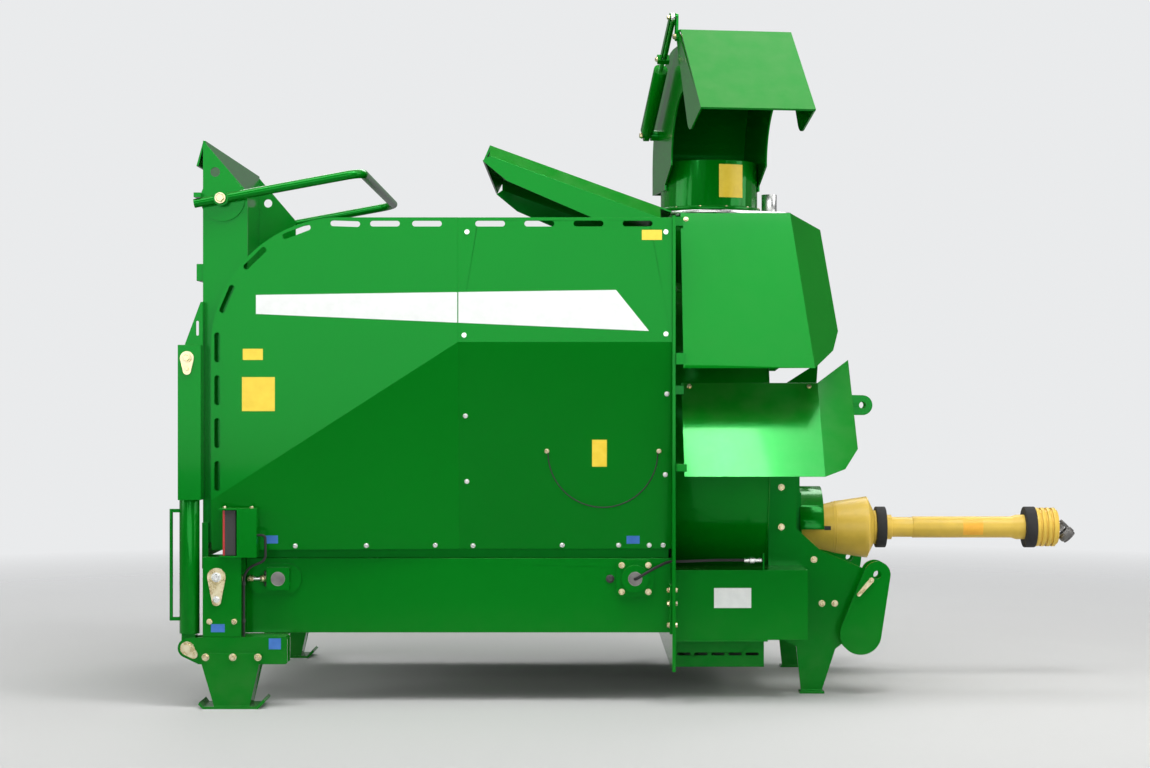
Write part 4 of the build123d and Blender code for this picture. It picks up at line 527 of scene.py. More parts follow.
STEEL = Finish("bare_steel", "worn_steel", Texture.WORN, (0.16, 0.155, 0.15), (0.5, 0.49, 0.47), 0.42, metallic=0.85)
LENS = Finish("red_lens", "red_lens", Texture.LENS, (0.28, 0.012, 0.008), (0.55, 0.03, 0.015), 0.12, coat=0.8)
BLACK = Finish("black_plastic", "black_plastic", Texture.MOULDED, (0.018, 0.018, 0.019), (0.05, 0.05, 0.05), 0.42)
WHITE_FOIL = Finish("white_foil", None, Texture.FOIL, (0.70, 0.72, 0.70), (0.76, 0.78, 0.76), 0.34)
YELLOW_FOIL = Finish("yellow_foil", None, Texture.FOIL, (0.80, 0.56, 0.02), (0.86, 0.62, 0.04), 0.36)
BLUE_FOIL = Finish("blue_foil", None, Texture.FOIL, (0.02, 0.12, 0.42), (0.03, 0.16, 0.50), 0.36)
ORANGE_FOIL = Finish("orange_foil", None, Texture.FOIL, (0.80, 0.38, 0.02), (0.86, 0.44, 0.03), 0.40)


@dataclass(frozen=True)
class Seat:
    """A place on a face: its point and the way that it looks."""

    point: Vector
    normal: Vector

    def lifted(self, height: float) -> Vector:
        """Return the point above the face by a height in millimetres."""
        return self.point + self.normal * height * MM


class Surface:
    """The outer faces of some solids, on which small pieces are seated."""

    def __init__(self, *nodes: str) -> None:
        """Gather the faces of the named solids.

        Args:
            nodes: names of CAD nodes.
        """
        corners: list[Vector] = []
        faces: list[list[int]] = []
        for name in nodes:
            mesh = frame["nodes"][name].data
            first = len(corners)
            corners.extend(vertex.co.copy() for vertex in mesh.vertices)
            faces.extend([first + index for index in face.vertices] for face in mesh.polygons)
        self.nodes = nodes
        self.faces = BVHTree.FromPolygons(corners, faces)

    def cast(self, start: Vector, way: Vector) -> Seat:
        """Press a point onto the faces.

        Args:
            start: where it comes from, in metres.
            way: the direction.

        Returns:
            The first face that it meets.
        """
        point, normal, _, _ = self.faces.ray_cast(start, way)
        if point is None:
            raise ValueError(f"no face of {self.nodes} from {tuple(start)} along {tuple(way)}")
        return Seat(point, -normal if normal.dot(way) > 0 else normal)

    def seat(self, aim: Aim, first: float, second: float, reach: float = 4000) -> Seat:
        """Press a point onto the faces along one of the main directions.

        Args:
            aim: the direction.
            first: X in millimetres, or Y where the aim is along X.
            second: Z in millimetres, or Y where the aim is along Z.
            reach: how far from the middle planes it starts.

        Returns:
            The first face that it meets.
        """
        way = Vector(aim.value)
        if way.x:
            start = Vector((-way.x * reach, first, second))
        elif way.y:
            start = Vector((first, -way.y * reach, second))
        else:
            start = Vector((first, second, -way.z * reach))
        return self.cast(start * MM, way)

    def beside(self, side: Side, x: float, z: float) -> Seat:
        """Return the face on one side of the machine at X and Z in millimetres."""
        return self.seat(Aim.FROM_RIGHT if side is Side.RIGHT else Aim.FROM_LEFT, x, z)


def circle(steps: int, start: float = 0.0) -> list[float]:
    """Return even turns of a circle in radians, the first one by a share of a step."""
    return [2 * math.pi * (step + start) / steps for step in range(steps)]


def lathe(form: Form, profile: Sequence[Point], start: Vector, axis: Vector, steps: int) -> None:
    """Add a turned shape.

    Args:
        form: the mesh to add to.
        profile: distance along the axis and radius, in millimetres, closed at both ends.
        start: the axis' start in metres.
        axis: its direction.
        steps: sides of the turned shape.
    """
    axis = axis.normalized()
    across = axis.orthogonal().normalized()
    beside = axis.cross(across)
    rings = []
    for along, radius in profile:
        middle = start + axis * along * MM
        ways = [across * math.cos(turn) + beside * math.sin(turn) for turn in circle(steps)]
        rings.append([form.verts.new(middle + way * radius * MM) for way in ways])
    for low, high in zip(rings, rings[1:]):
        for step in range(steps):
            after = (step + 1) % steps
            form.faces.new((low[step], low[after], high[after], high[step]))
    form.faces.new(rings[0])
    form.faces.new(rings[-1])


def prism(form: Form, low: Sequence[Vector], high: Sequence[Vector]) -> None:
    """Add a closed shape between two outlines with as many points.

    Args:
        form: the mesh to add to.
        low: the first outline in metres.
        high: the second outline.
    """
    foot = [form.verts.new(point) for point in low]
    top = [form.verts.new(point) for point in high]
    form.faces.new(foot)
    form.faces.new(top)
    for index in range(len(foot)):
        after = (index + 1) % len(foot)
        form.faces.new((foot[index], foot[after], top[after], top[index]))


def bar(form: Form, start: Vector, end: Vector, width: Vector, depth: Vector) -> None:
    """Add a straight flat bar between the middles of its ends, by half of its width and depth as vectors."""
    corners = [width + depth, width - depth, -width - depth, -width + depth]
    prism(form, [start + corner for corner in corners], [end + corner for corner in corners])


class GrowthTree(NodeGroup):
    """A Geometry Nodes tree that grows a piece from points or edges."""

    kind = "GeometryNodeTree"
    output_type = "NodeSocketGeometry"
    outputs = ("Geometry",)

    def shape(self) -> Socket:
        """Wire the tree's inside and return the finished shape."""
        raise NotImplementedError

    def sockets(self) -> dict[str, tuple[str, object]]:
        """Return the inputs, with the geometry before them and the finish after them."""
        ends = {"Geometry": ("NodeSocketGeometry", None)}, {"Finish": ("NodeSocketMaterial", None)}
        return ends[0] | super().sockets() | ends[1]

    def fill(self) -> dict[str, Socket]:
        """Return the shape as one mesh in its finish."""
        whole = self.out("GeometryNodeRealizeInstances", {0: self.shape()})
        return {"Geometry": self.out("GeometryNodeSetMaterial", {0: whole, "Material": self.source["Finish"]})}

    def grow(self, name: str, seed: bpy.types.Mesh, finish: Finish, **values: float) -> bpy.types.Object:
        """Run the tree on a mesh and keep the result as a plain mesh.

        Args:
            name: the piece's name.
            seed: points or edges that the tree works on.
            finish: the piece's finish.
            values: the tree's inputs by name.

        Returns:
            The piece, with no modifier left.
        """
        piece = bpy.data.objects.new(name, seed)
        bpy.context.scene.collection.objects.link(piece)
        modifier = piece.modifiers.new(self.name, "NODES")
        modifier.node_group = self.made()
        wanted = values | {"Finish": finish.material()}
        for item in modifier.node_group.interface.items_tree:
            if item.item_type == "SOCKET" and item.in_out == "INPUT" and item.name in wanted:
                modifier[item.identifier] = wanted[item.name]
        graph = bpy.context.evaluated_depsgraph_get()
        plain = bpy.data.meshes.new_from_object(piece.evaluated_get(graph), depsgraph=graph)
        piece.modifiers.clear()
        piece.data = plain
        plain.name = name
        bpy.data.meshes.remove(seed)
        return piece

    def on_points(self, points: Socket, piece: Socket, pose: Socket, **others: Socket) -> Socket:
        """Return a piece set on points in a pose."""
        inputs = {"Points": points, "Instance": piece, "Rotation": pose} | others
        return self.out("GeometryNodeInstanceOnPoints", inputs)


class HexBolts(GrowthTree):
    """Hexagon heads on washers, one at each point, looking along the point's facing."""

    name = "hex_bolts"
    inputs = {"Washer Height": 0.16, "Head Height": 0.5, "Head Radius": 0.8, "Chamfer Height": 0.12, "Seed": 7}
    chamfer_share: float = 0.86
    most_turn: float = 1.05

    def shape(self) -> Socket:
        """Wire washer, head and chamfer, and set them on the points.

        Returns:
            The bolts on their points.
        """
        radius = self.source["Head Radius"]
        flat = self.math("MULTIPLY", radius, self.chamfer_share)
        washer = self.add("GeometryNodeMeshCylinder", {"Vertices": 20, "Radius": 1.0})
        head = self.add("GeometryNodeMeshCylinder", {"Vertices": 6, "Radius": radius})
        chamfer = self.add("GeometryNodeMeshCone", {"Vertices": 6, "Radius Top": flat, "Radius Bottom": radius})
        bolt = self.add("GeometryNodeJoinGeometry")
        foot: object = 0.0
        # A cylinder lies around its middle, and a cone stands on its foot.
        for label, node, below in (("Washer", washer, 0.5), ("Head", head, 0.5), ("Chamfer", chamfer, 0.0)):
            depth = self.source[f"{label} Height"]
            self.put(node.inputs["Depth"], depth)
            lift = self.out("ShaderNodeCombineXYZ", {2: self.math("MULTIPLY_ADD", depth, below, foot)})
            layer = self.out("GeometryNodeTransform", {0: node.outputs["Mesh"], "Translation": lift})
            self.put(bolt.inputs[0], layer)
            foot = self.math("ADD", foot, depth)
        facing = self.out("GeometryNodeInputNamedAttribute", {0: "facing"}, data_type="FLOAT_VECTOR")
        size = self.out("GeometryNodeInputNamedAttribute", {0: "size"}, data_type="FLOAT")
        stand = self.out("FunctionNodeAlignRotationToVector", {"Vector": facing}, axis="Z")
        turn = self.out("FunctionNodeRandomValue", {2: 0.0, 3: self.most_turn, "Seed": self.source["Seed"]}, 1)
        spin = self.out("FunctionNodeAxisAngleToRotation", {"Angle": turn})
        pose = self.out("FunctionNodeRotateRotation", {0: stand, 1: spin}, rotation_space="LOCAL")
        return self.on_points(self.source["Geometry"], bolt.outputs[0], pose, Scale=size)


class RippledBar(GrowthTree):
    """A round bar along edges whose radius ripples, as a weld bead or a thread does."""

    name = "rippled_bar"
    inputs = {"Radius": 0.004, "Pitch": 0.005, "Ripple": 0.2, "Sides": 8}

    def shape(self) -> Socket:
        """Wire the path, its ripple and the bar's section.

        Returns:
            The swept bar.
        """
        path = self.out("GeometryNodeMeshToCurve", {0: self.source["Geometry"]})
        half = self.math("MULTIPLY", self.source["Pitch"], 0.5)
        even = self.out("GeometryNodeResampleCurve", {0: path, 3: half}, mode="LENGTH")
        odd = self.math("MODULO", self.out("GeometryNodeInputIndex"), 2.0)
        share = self.math("SUBTRACT", 1.0, self.math("MULTIPLY", odd, self.source["Ripple"]))
        scale = self.math("MULTIPLY", share, self.source["Radius"])
        section = self.out("GeometryNodeCurvePrimitiveCircle", {"Resolution": self.source["Sides"], "Radius": 1.0})
        swept = self.out("GeometryNodeCurveToMesh", {0: even, 1: section, "Scale": scale, "Fill Caps": True})
        return self.out("GeometryNodeSetShadeSmooth", {0: swept})


class ChainLinks(GrowthTree):
    """Side plates and a roller at each pitch of a chain that runs in an upright plane."""

    name = "chain_links"
    inputs = {"Pitch": 0.05, "Half Width": 0.02, "Plate Height": 0.026, "Plate Thickness": 0.005}
    plate_share: float = 0.82
    pin_share: float = 0.26
    pin_past: float = 0.012

    def shape(self) -> Socket:
        """Wire one link and set it along the path.

        Returns:
            The links along their path.
        """
        pitch, half, high = (self.source[label] for label in ("Pitch", "Half Width", "Plate Height"))
        long = self.math("MULTIPLY", pitch, self.plate_share)
        size = self.out("ShaderNodeCombineXYZ", {0: long, 1: self.source["Plate Thickness"], 2: high})
        plate = self.out("GeometryNodeMeshCube", {"Size": size})
        link = self.add("GeometryNodeJoinGeometry")
        for sign in (-1.0, 1.0):
            shift = self.out("ShaderNodeCombineXYZ", {1: self.math("MULTIPLY", half, sign)})
            self.put(link.inputs[0], self.out("GeometryNodeTransform", {0: plate, "Translation": shift}))
        reach = self.math("MULTIPLY_ADD", half, 2.0, self.pin_past)
        radius = self.math("MULTIPLY", high, self.pin_share)
        pin = self.out("GeometryNodeMeshCylinder", {"Vertices": 10, "Radius": radius, "Depth": reach})
        across = self.out("GeometryNodeTransform", {0: pin, "Rotation": (math.pi / 2, 0.0, 0.0)})
        self.put(link.inputs[0], across)
        path = self.out("GeometryNodeMeshToCurve", {0: self.source["Geometry"]})
        stations = self.add("GeometryNodeCurveToPoints", {0: path, 2: pitch}, mode="LENGTH").outputs
        along = {"Vector": stations["Tangent"]}
        pose = self.out("FunctionNodeAlignRotationToVector", along, axis="X", pivot_axis="Y")
        return self.on_points(stations["Points"], link.outputs[0], pose)


BOLTS, RIPPLED, LINKS = HexBolts(), RippledBar(), ChainLinks()


def line_mesh(name: str, paths: Iterable[Sequence[Vector]], closed: bool = False) -> bpy.types.Mesh:
    """Make a mesh of edges only.

    Args:
        name: the mesh's name.
        paths: the points of each path in metres.
        closed: whether each path ends where it starts.

    Returns:
        The mesh.
    """
    points: list[Vector] = []
    edges: list[tuple[int, int]] = []
    for path in paths:
        first = len(points)
        points.extend(path)
        edges.extend((first + index, first + index + 1) for index in range(len(path) - 1))
        if closed:
            edges.append((len(points) - 1, first))
    mesh = bpy.data.meshes.new(name)
    mesh.from_pydata(points, edges, [])
    return mesh


@dataclass
class Workshop:
    """Coats the solids, keeps the bolts and welds of each body, and hands over finished pieces."""

    sharp_angle: float = 35.0
    weld_gap: float = 0.02
    weld_radius: float = 3.2
    weld_pitch: float = 7.0
    foil_faces: Point = (0.05, 0.6)
    bolts: dict[tuple[str, Finish], list[tuple[Seat, float]]] = field(default_factory=dict)
    welds: dict[str, list[list[Vector]]] = field(default_factory=dict)
    count: int = 0

    def coat(self, node: str, finish: Finish, rounding: float) -> None:
        """Give a solid its finish and soft edges.

        Args:
            node: the CAD node.
            finish: its finish.
            rounding: width of its edges in millimetres, or 0 for none.
        """
        solid = frame["nodes"][node]
        solid.data.materials.clear()
        solid.data.materials.append(finish.material())
        if rounding:
            weld = solid.modifiers.new("join", "WELD")
            weld.merge_threshold = self.weld_gap * MM
            self.round_edges(solid, rounding)
        log.info("coated %s with %s", node, finish.name)

    def round_edges(self, piece: bpy.types.Object, width: float) -> None:
        """Round a piece's sharp edges.

        Args:
            piece: the object.
            width: width of the rounding in millimetres.
        """
        bevel = piece.modifiers.new("edges", "BEVEL")
        bevel.width = width * MM
        bevel.segments = 2
        bevel.limit_method = "ANGLE"
        bevel.angle_limit = math.radians(self.sharp_angle)
        bevel.harden_normals = True

    def piece(self, name: str, form: Form, finish: Finish, body: str = ROOT, rounding: float = 0.0) -> None:
        """Turn a form into a finished piece that rides on a body.

        Args:
            name: the piece's name.
            form: its shape, which is freed.
            finish: its finish.
            body: the CAD body that it moves with.
            rounding: width of its edges in millimetres, or 0 for none.
        """
        bmesh.ops.recalc_face_normals(form, faces=form.faces)
        mesh = bpy.data.meshes.new(name)
        form.to_mesh(mesh)
        form.free()
        mesh.materials.append(finish.material())
        mesh.polygons.foreach_set("use_smooth", [True] * len(mesh.polygons))
        mesh.set_sharp_from_angle(angle=math.radians(self.sharp_angle))
        piece = bpy.data.objects.new(name, mesh)
        bpy.context.scene.collection.objects.link(piece)
        if rounding:
            self.round_edges(piece, rounding)
        self.hand_over(piece, finish, body)

    def hand_over(self, piece: bpy.types.Object, finish: Finish, body: str) -> None:
        """Let a finished piece ride on its body.

        Args:
            piece: the object.
            finish: not used.
            body: the CAD body.
        """
        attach(piece, body)
        self.count += 1
        log.info("made %s on %s, %d faces", piece.name, body, len(piece.data.polygons))

    def bolt(self, seat: Seat, radius: float, body: str = ROOT, finish: Finish = ZINC) -> None:
        """Keep a bolt for later, by the seat and radius in millimetres of its washer."""
        self.bolts.setdefault((body, finish), []).append((seat, radius))

    def weld(self, path: Sequence[Vector], body: str = ROOT) -> None:
        """Keep a weld's path in metres for later."""
        self.welds.setdefault(body, []).append(list(path))

    def make_bolts(self) -> None:
        """Make the bolts of each body and finish as one piece."""
        for (body, finish), places in self.bolts.items():
            points = bpy.data.meshes.new("bolt_points")
            points.from_pydata([seat.point for seat, _ in places], [], [])
            points.attributes.new("facing", "FLOAT_VECTOR", "POINT")
            points.attributes.new("size", "FLOAT", "POINT")
            normals = [value for seat, _ in places for value in seat.normal]
            points.attributes["facing"].data.foreach_set("vector", normals)
            points.attributes["size"].data.foreach_set("value", [radius * MM for _, radius in places])
            self.hand_over(BOLTS.grow(f"bolts_{body}_{finish.name}", points, finish), finish, body)

    def make_welds(self) -> None:
        """Make the weld beads of each body as one piece."""
        sizes = {"Radius": self.weld_radius * MM, "Pitch": self.weld_pitch * MM}
        for body, paths in self.welds.items():
            beads = RIPPLED.grow(f"welds_{body}", line_mesh("weld_paths", paths), GREEN, **sizes)
            self.hand_over(beads, GREEN, body)

    def sticker(self, name: str, surface: Surface, side: Side, xs: Point, zs: Point, finish: Finish, body: str = ROOT,
                columns: int = 1, rows: int = 1) -> None:
        """Lay a thin blank sticker on a side face.

        Args:
            name: the piece's name.
            surface: what it lies on.
            side: which side it is pressed on from.
            xs: its limits along X in millimetres.
            zs: its limits along Z in millimetres.
            finish: its finish.
            body: the CAD body.
            columns: steps along X, more on a curved face.
            rows: steps along Z, more on a curved face.
        """
        form = bmesh.new()
        across = [xs[0] + (xs[1] - xs[0]) * column / columns for column in range(columns + 1)]
        upward = [zs[0] + (zs[1] - zs[0]) * row / rows for row in range(rows + 1)]
        low, high = layers = [
            [[form.verts.new(surface.beside(side, x, z).lifted(height)) for x in across] for z in upward]
            for height in self.foil_faces
        ]
        for layer in layers:
            for under, over in zip(layer, layer[1:]):
                for column in range(columns):
                    form.faces.new((under[column], under[column + 1], over[column + 1], over[column]))
        rim = [(0, column) for column in range(columns)] + [(row, columns) for row in range(rows)]
        rim += [(rows, column) for column in range(columns, 0, -1)] + [(row, 0) for row in range(rows, 0, -1)]
        for (row, column), (row_after, column_after) in zip(rim, rim[1:] + rim[:1]):
            form.faces.new((low[row][column], low[row_after][column_after],
                            high[row_after][column_after], high[row][column]))
        self.piece(name, form, finish, body)

    def patch(self, name: str, surface: Surface, side: Side, outline: Sequence[Point], finish: Finish) -> None:
        """Lay a flat patch of any outline on a flat side face.

        Args:
            name: the piece's name.
            surface: what it lies on.
            side: which side it is pressed on from.
            outline: X and Z of its corners in millimetres.
            finish: its finish.
        """
        seats = [surface.beside(side, x, z) for x, z in outline]
        low, high = ([seat.lifted(height) for seat in seats] for height in self.foil_faces)
        form = bmesh.new()
        prism(form, low, high)
        self.piece(name, form, finish)


@dataclass
class SubAssembly:
    """A group of solids and the small pieces on them.

    Each coat says a finish, the width of the edges in millimetres and the names of the solids.
    """

    shop: Workshop
    coats: ClassVar[tuple[tuple[Finish, float, str], ...]] = ()

    def dress(self) -> None:
        """Coat the solids."""
        for finish, rounding, nodes in self.coats:
            for node in nodes.split():
                self.shop.coat(node, finish, rounding)

    def build(self) -> None:
        """Make the small pieces."""
        raise NotImplementedError

    def row(self, surface: Surface, side: Side, places: Iterable[Point], radius: float, finish: Finish = ZINC) -> None:
        """Keep a bolt at each X and Z of a side face."""
        for x, z in places:
            self.shop.bolt(surface.beside(side, x, z), radius, finish=finish)


@dataclass
class SideWalls(SubAssembly):
    """Walls of the bale bed with bolts, stripe, a black strip painted as the shadow line under the round hatch, and
    blank stickers.
    """

    coats = ((GREEN, 1.0, "wall_rear_right wall_rear_left wall_front_right wall_front_left"),)
    bolt_radius: float = 8.5
    front_bolts: tuple[Point, ...] = (
        (-634, 1298), (-631, 1015), (-627, 784), (-606, 556), (-624, 1659), (72, 1659), (72, 1302), (76, 1092),
        (72, 808), (-291, 558), (-92, 558), (16, 558), (65, 558),
    )
    rear_bolts: tuple[Point, ...] = ((-1229, 558), (-981, 558), (-739, 558))
    stripe_rear: tuple[Point, ...] = ((-1362, 1438.5), (-658, 1448.3), (-658, 1341.5), (-1362, 1372))
    stripe_front: tuple[Point, ...] = ((-654, 1448.4), (-102.5, 1456), (13, 1312.5), (-654, 1341.3))
    hatch_middle: Point = (-148, 885)
    hatch_radius: float = 193
    hatch_bolts: Point = (4, 6)
    strip_radius: float = 2.2
    strip_lift: float = 0.4
    strip_pitch: float = 24
    strip_steps: int = 32
    stickers: tuple[tuple[str, str, Point, Point, Finish], ...] = (
        ("small_yellow", "rear", (-1408, -1338), (1211, 1250), YELLOW_FOIL),
        ("large_yellow", "rear", (-1411, -1296), (1032, 1151), YELLOW_FOIL),
        ("blue_rear", "rear", (-1334, -1289), (567, 595), BLUE_FOIL),
        ("top_yellow", "front", (-12, 58), (1631, 1666), YELLOW_FOIL),
        ("blue_front", "front", (-64, -18), (563, 591), BLUE_FOIL),
    )
    hatch_sticker: tuple[Point, Point] = ((-186, -134), (836, 931))

    def build(self) -> None:
        """Make bolts, stripe, the hatch's painted shadow line and stickers on both sides."""
        for side in Side:
            hand = side.name.lower()
            faces = {end: Surface(f"wall_{end}_{hand}") for end in ("rear", "front")}
            self.row(faces["front"], side, self.front_bolts, self.bolt_radius, SILVER)
            self.row(faces["rear"], side, self.rear_bolts, self.bolt_radius, SILVER)
            self.shop.patch(f"stripe_rear_{hand}", faces["rear"], side, self.stripe_rear, WHITE_FOIL)
            self.shop.patch(f"stripe_front_{hand}", faces["front"], side, self.stripe_front, WHITE_FOIL)
            for name, end, xs, zs, finish in self.stickers:
                self.shop.sticker(f"sticker_{name}_{hand}", faces[end], side, xs, zs, finish)
            self.hatch_shadow_line(faces["front"], side)

    def hatch_shadow_line(self, face: Surface, side: Side) -> None:
        """Make a thin black strip along the lower edge of the round hatch as a painted shadow line, with its end bolts
        and sticker.

        Args:
            face: the front wall.
            side: which side.
        """
        x, z = self.hatch_middle
        radius = self.hatch_radius
        turns = [math.pi * (1 + step / self.strip_steps) for step in range(self.strip_steps + 1)]
        seats = [face.beside(side, x + radius * math.cos(turn), z + radius * math.sin(turn)) for turn in turns]
        path = line_mesh("hatch_path", [[seat.lifted(self.strip_lift) for seat in seats]])
        hand = side.name.lower()
        # This black rubber strip is a painted shadow line under the hatch's rim, not a seal.
        strip = RIPPLED.grow(f"hatch_shadow_strip_{hand}", path, RUBBER, Radius=self.strip_radius * MM,
                             Pitch=self.strip_pitch * MM, Ripple=0.0)
        self.shop.hand_over(strip, RUBBER, ROOT)
        out, up = self.hatch_bolts
        self.row(face, side, [(x + sign * (radius + out), z + up) for sign in (-1, 1)], self.bolt_radius)
        self.shop.sticker(f"sticker_hatch_{hand}", face, side, *self.hatch_sticker, YELLOW_FOIL)


@dataclass
class BedFrame(SubAssembly):
    """Rails, floor, conveyor and its bearings."""

    coats = (
        (GREEN, 1.5, "bed_rails cross_members bed_floor drive_bearings chain_tensioners"),
        (STEEL, 1.5, "floor_chain conveyor_shafts"),
        (BLACK, 2.0, "conveyor_motor"),
    )
    chain_ends: Point = (-1293, -34)
    chain_height: float = 440
    chain_radius: float = 90
    chain_y: float = 330
    chain_turn: int = 15
    rod_x: Point = (-1402, -1336)
    rod_y: float = 650
    rod_radius: float = 8.2
    rod_sides: int = 16
    rod_nuts: tuple[float, ...] = (-1392, -1346)
    rod_nut_radius: float = 15
    thread_pitch: float = 2.5
    thread_depth: float = 0.13
    bearing_x: float = -34
    bearing_bolt_step: float = 47
    bearing_bolt_radius: float = 11
    plug: Point = (-122, 438)
    plug_profile: tuple[Point, ...] = ((0, 15), (3, 15), (5, 12), (9, 9), (9, 4))
    plug_sides: int = 24

    def build(self) -> None:
        """Make the chain links, threads, nuts, bolts and plugs."""
        self.chain()
        self.threads()
        bearings = Surface("drive_bearings")
        rails = Surface("bed_rails", "conveyor_motor")
        steps = (-self.bearing_bolt_step, self.bearing_bolt_step)
        corners = [(self.bearing_x + dx, self.chain_height + dz) for dx in steps for dz in steps]
        for side in Side:
            self.row(bearings, side, corners, self.bearing_bolt_radius)
            form = bmesh.new()
            seat = rails.beside(side, *self.plug)
            lathe(form, self.plug_profile, seat.point, seat.normal, self.plug_sides)
            self.shop.piece(f"rail_plug_{side.name.lower()}", form, BLACK)

    def chain(self) -> None:
        """Make the links of both conveyor chains."""
        paths = []
        radius = self.chain_radius
        for y in (-self.chain_y, self.chain_y):
            loop = []
            for middle, first in ((self.chain_ends[1], -90), (self.chain_ends[0], 90)):
                for turn in range(first, first + 181, self.chain_turn):
                    x = middle + radius * math.cos(math.radians(turn))
                    z = self.chain_height + radius * math.sin(math.radians(turn))
                    loop.append(Vector((x, y, z)) * MM)
            paths.append(loop)
        links = LINKS.grow("conveyor_links", line_mesh("chain_paths", paths, closed=True), STEEL)
        self.shop.hand_over(links, STEEL, ROOT)

    def threads(self) -> None:
        """Make the threaded take-up rods with their nuts."""
        paths = []
        for side in Side:
            y = side.value * self.rod_y
            paths.append([Vector((x, y, self.chain_height)) * MM for x in self.rod_x])
            for x in self.rod_nuts:
                for way in (-1, 1):
                    seat = Seat(Vector((x, y, self.chain_height)) * MM, Vector((way, 0, 0)))
                    self.shop.bolt(seat, self.rod_nut_radius)
        rods = RIPPLED.grow("take_up_threads", line_mesh("rod_paths", paths), SILVER, Radius=self.rod_radius * MM,
                            Pitch=self.thread_pitch * MM, Ripple=self.thread_depth, Sides=self.rod_sides)
        self.shop.hand_over(rods, SILVER, ROOT)


@dataclass
class RearEnd(SubAssembly):
    """Posts, feet, lamps, their cables and the pins that carry the tailgate."""

    coats = (
        (GREEN, 1.5, "rear_posts rear_feet"), (GREEN, 0.8, "lamp_boxes"), (ZINC, 1.0, "tailgate_pins"),
        (ZINC, 1.2, "ram_lower_pins"), (BLACK, 2.5, "rear_lamps"), (LENS, 2.0, "lamp_lenses"),
        (RUBBER, 0.0, "lamp_cables"),
    )
    pin_bolts: tuple[Triple, ...] = ((-1493, 455, 17), (-1493, 378, 12))
    foot_bolts: tuple[Point, ...] = ((-1529, 178), (-1434, 178), (-1347, 178))
    foot_bolt_radius: float = 13
    post_bolts: tuple[Point, ...] = ((-1518, 300), (-1432, 300))
    post_bolt_radius: float = 10
    post_face: float = -1408
    box_bolts: tuple[float, ...] = (-1466, -1372)
    box_bolt_y: float = 757
    box_bolt_radius: float = 8
    cable: Point = (-1403.2, 735)
    clip_heights: tuple[float, ...] = (430, 300)
    clip_ring: tuple[Point, ...] = ((-6, 4.7), (-6, 6.4), (6, 6.4), (6, 4.7))
    clip_sides: int = 20
    clip_half: float = 6
    clip_length: float = 20
    clip_layer: Point = (0.8, 0.7)
    clip_top: float = 1.5
    clip_bolt: Point = (12, 6)
    blue_post: tuple[Point, Point] = ((-1513, -1465), (263, 291))
    blue_foot: tuple[Point, Point] = ((-1311, -1269), (204, 242))

    def build(self) -> None:
        """Make the bolts, clips and stickers of the rear end."""
        pins, feet, posts = Surface("tailgate_pins"), Surface("rear_feet"), Surface("rear_posts")
        boxes = Surface("lamp_boxes")
        for side in Side:
            hand = side.name.lower()
            for x, z, radius in self.pin_bolts:
                self.shop.bolt(pins.beside(side, x, z), radius, finish=SILVER)
            self.row(feet, side, self.foot_bolts, self.foot_bolt_radius)
            self.row(posts, side, self.post_bolts, self.post_bolt_radius)
            for x in self.box_bolts:
                seat = boxes.seat(Aim.FROM_ABOVE, x, side.value * self.box_bolt_y)
                self.shop.bolt(seat, self.box_bolt_radius)
            self.clips(side)
            self.shop.sticker(f"sticker_post_{hand}", posts, side, *self.blue_post, BLUE_FOIL)
            self.shop.sticker(f"sticker_foot_{hand}", feet, side, *self.blue_foot, BLUE_FOIL)

    def clips(self, side: Side) -> None:
        """Make the clips that hold a lamp cable to its post.

        Args:
            side: which side.
        """
        x, out = self.cable
        y = side.value * out
        inner = y - side.value * self.clip_half
        middle, half = self.clip_layer
        bolt_in, bolt_radius = self.clip_bolt
        form = bmesh.new()
        for z in self.clip_heights:
            lathe(form, self.clip_ring, Vector((x, y, z)) * MM, UP, self.clip_sides)
            start = Vector((self.post_face + middle, inner, z)) * MM
            end = Vector((self.post_face + middle, inner - side.value * self.clip_length, z)) * MM
            bar(form, start, end, UP * self.clip_half * MM, FORWARD * half * MM)
            spot = Vector((self.post_face + self.clip_top, inner - side.value * bolt_in, z)) * MM
            self.shop.bolt(Seat(spot, FORWARD), bolt_radius, finish=SILVER)
        self.shop.piece(f"cable_clips_{side.name.lower()}", form, BLACK)


@dataclass
class Tailgate(SubAssembly):
    """Rear panel with ribs and side plates, the bale hoop and the two rams."""

    coats = (
        (GREEN, 1.5, "tailgate_panel tailgate_side_right tailgate_side_left"), (GREEN, 1.2, "ram_channels"),
        (ZINC, 1.2, "ram_upper_pins"), (GREEN, 0.0, "bale_hoop"), (GREEN, 1.5, "ram_barrels"), (ROD, 0.8, "ram_rods"),
    )
    rib_heights: tuple[float, ...] = (760, 1140, 1520)
    rib_half: float = 30
    panel_face: float = -1555
    panel_half: float = 655
    bead_step: float = 1
    hoop_pivot: Point = (-1485, 1777)
    hoop_bolt_radius: float = 19
    pin_bolts: tuple[Triple, ...] = ((-1594, 1217, 15), (-1594, 1180, 9))

    def build(self) -> None:
        """Make the rib welds and the pivot bolts."""
        x = self.panel_face - self.bead_step
        for z in self.rib_heights:
            for edge in (-self.rib_half - self.bead_step, self.rib_half + self.bead_step):
                ends = [Vector((x, y, z + edge)) * MM for y in (-self.panel_half, self.panel_half)]
                self.shop.weld(ends, "tailgate")
        hoop = Surface("bale_hoop", "tailgate_side_right", "tailgate_side_left")
        upper = Surface("ram_upper_pins")
        for side in Side:
            self.shop.bolt(hoop.beside(side, *self.hoop_pivot), self.hoop_bolt_radius, "bale_hoop")
            for x, z, radius in self.pin_bolts:
                self.shop.bolt(upper.beside(side, x, z), radius, "tailgate")


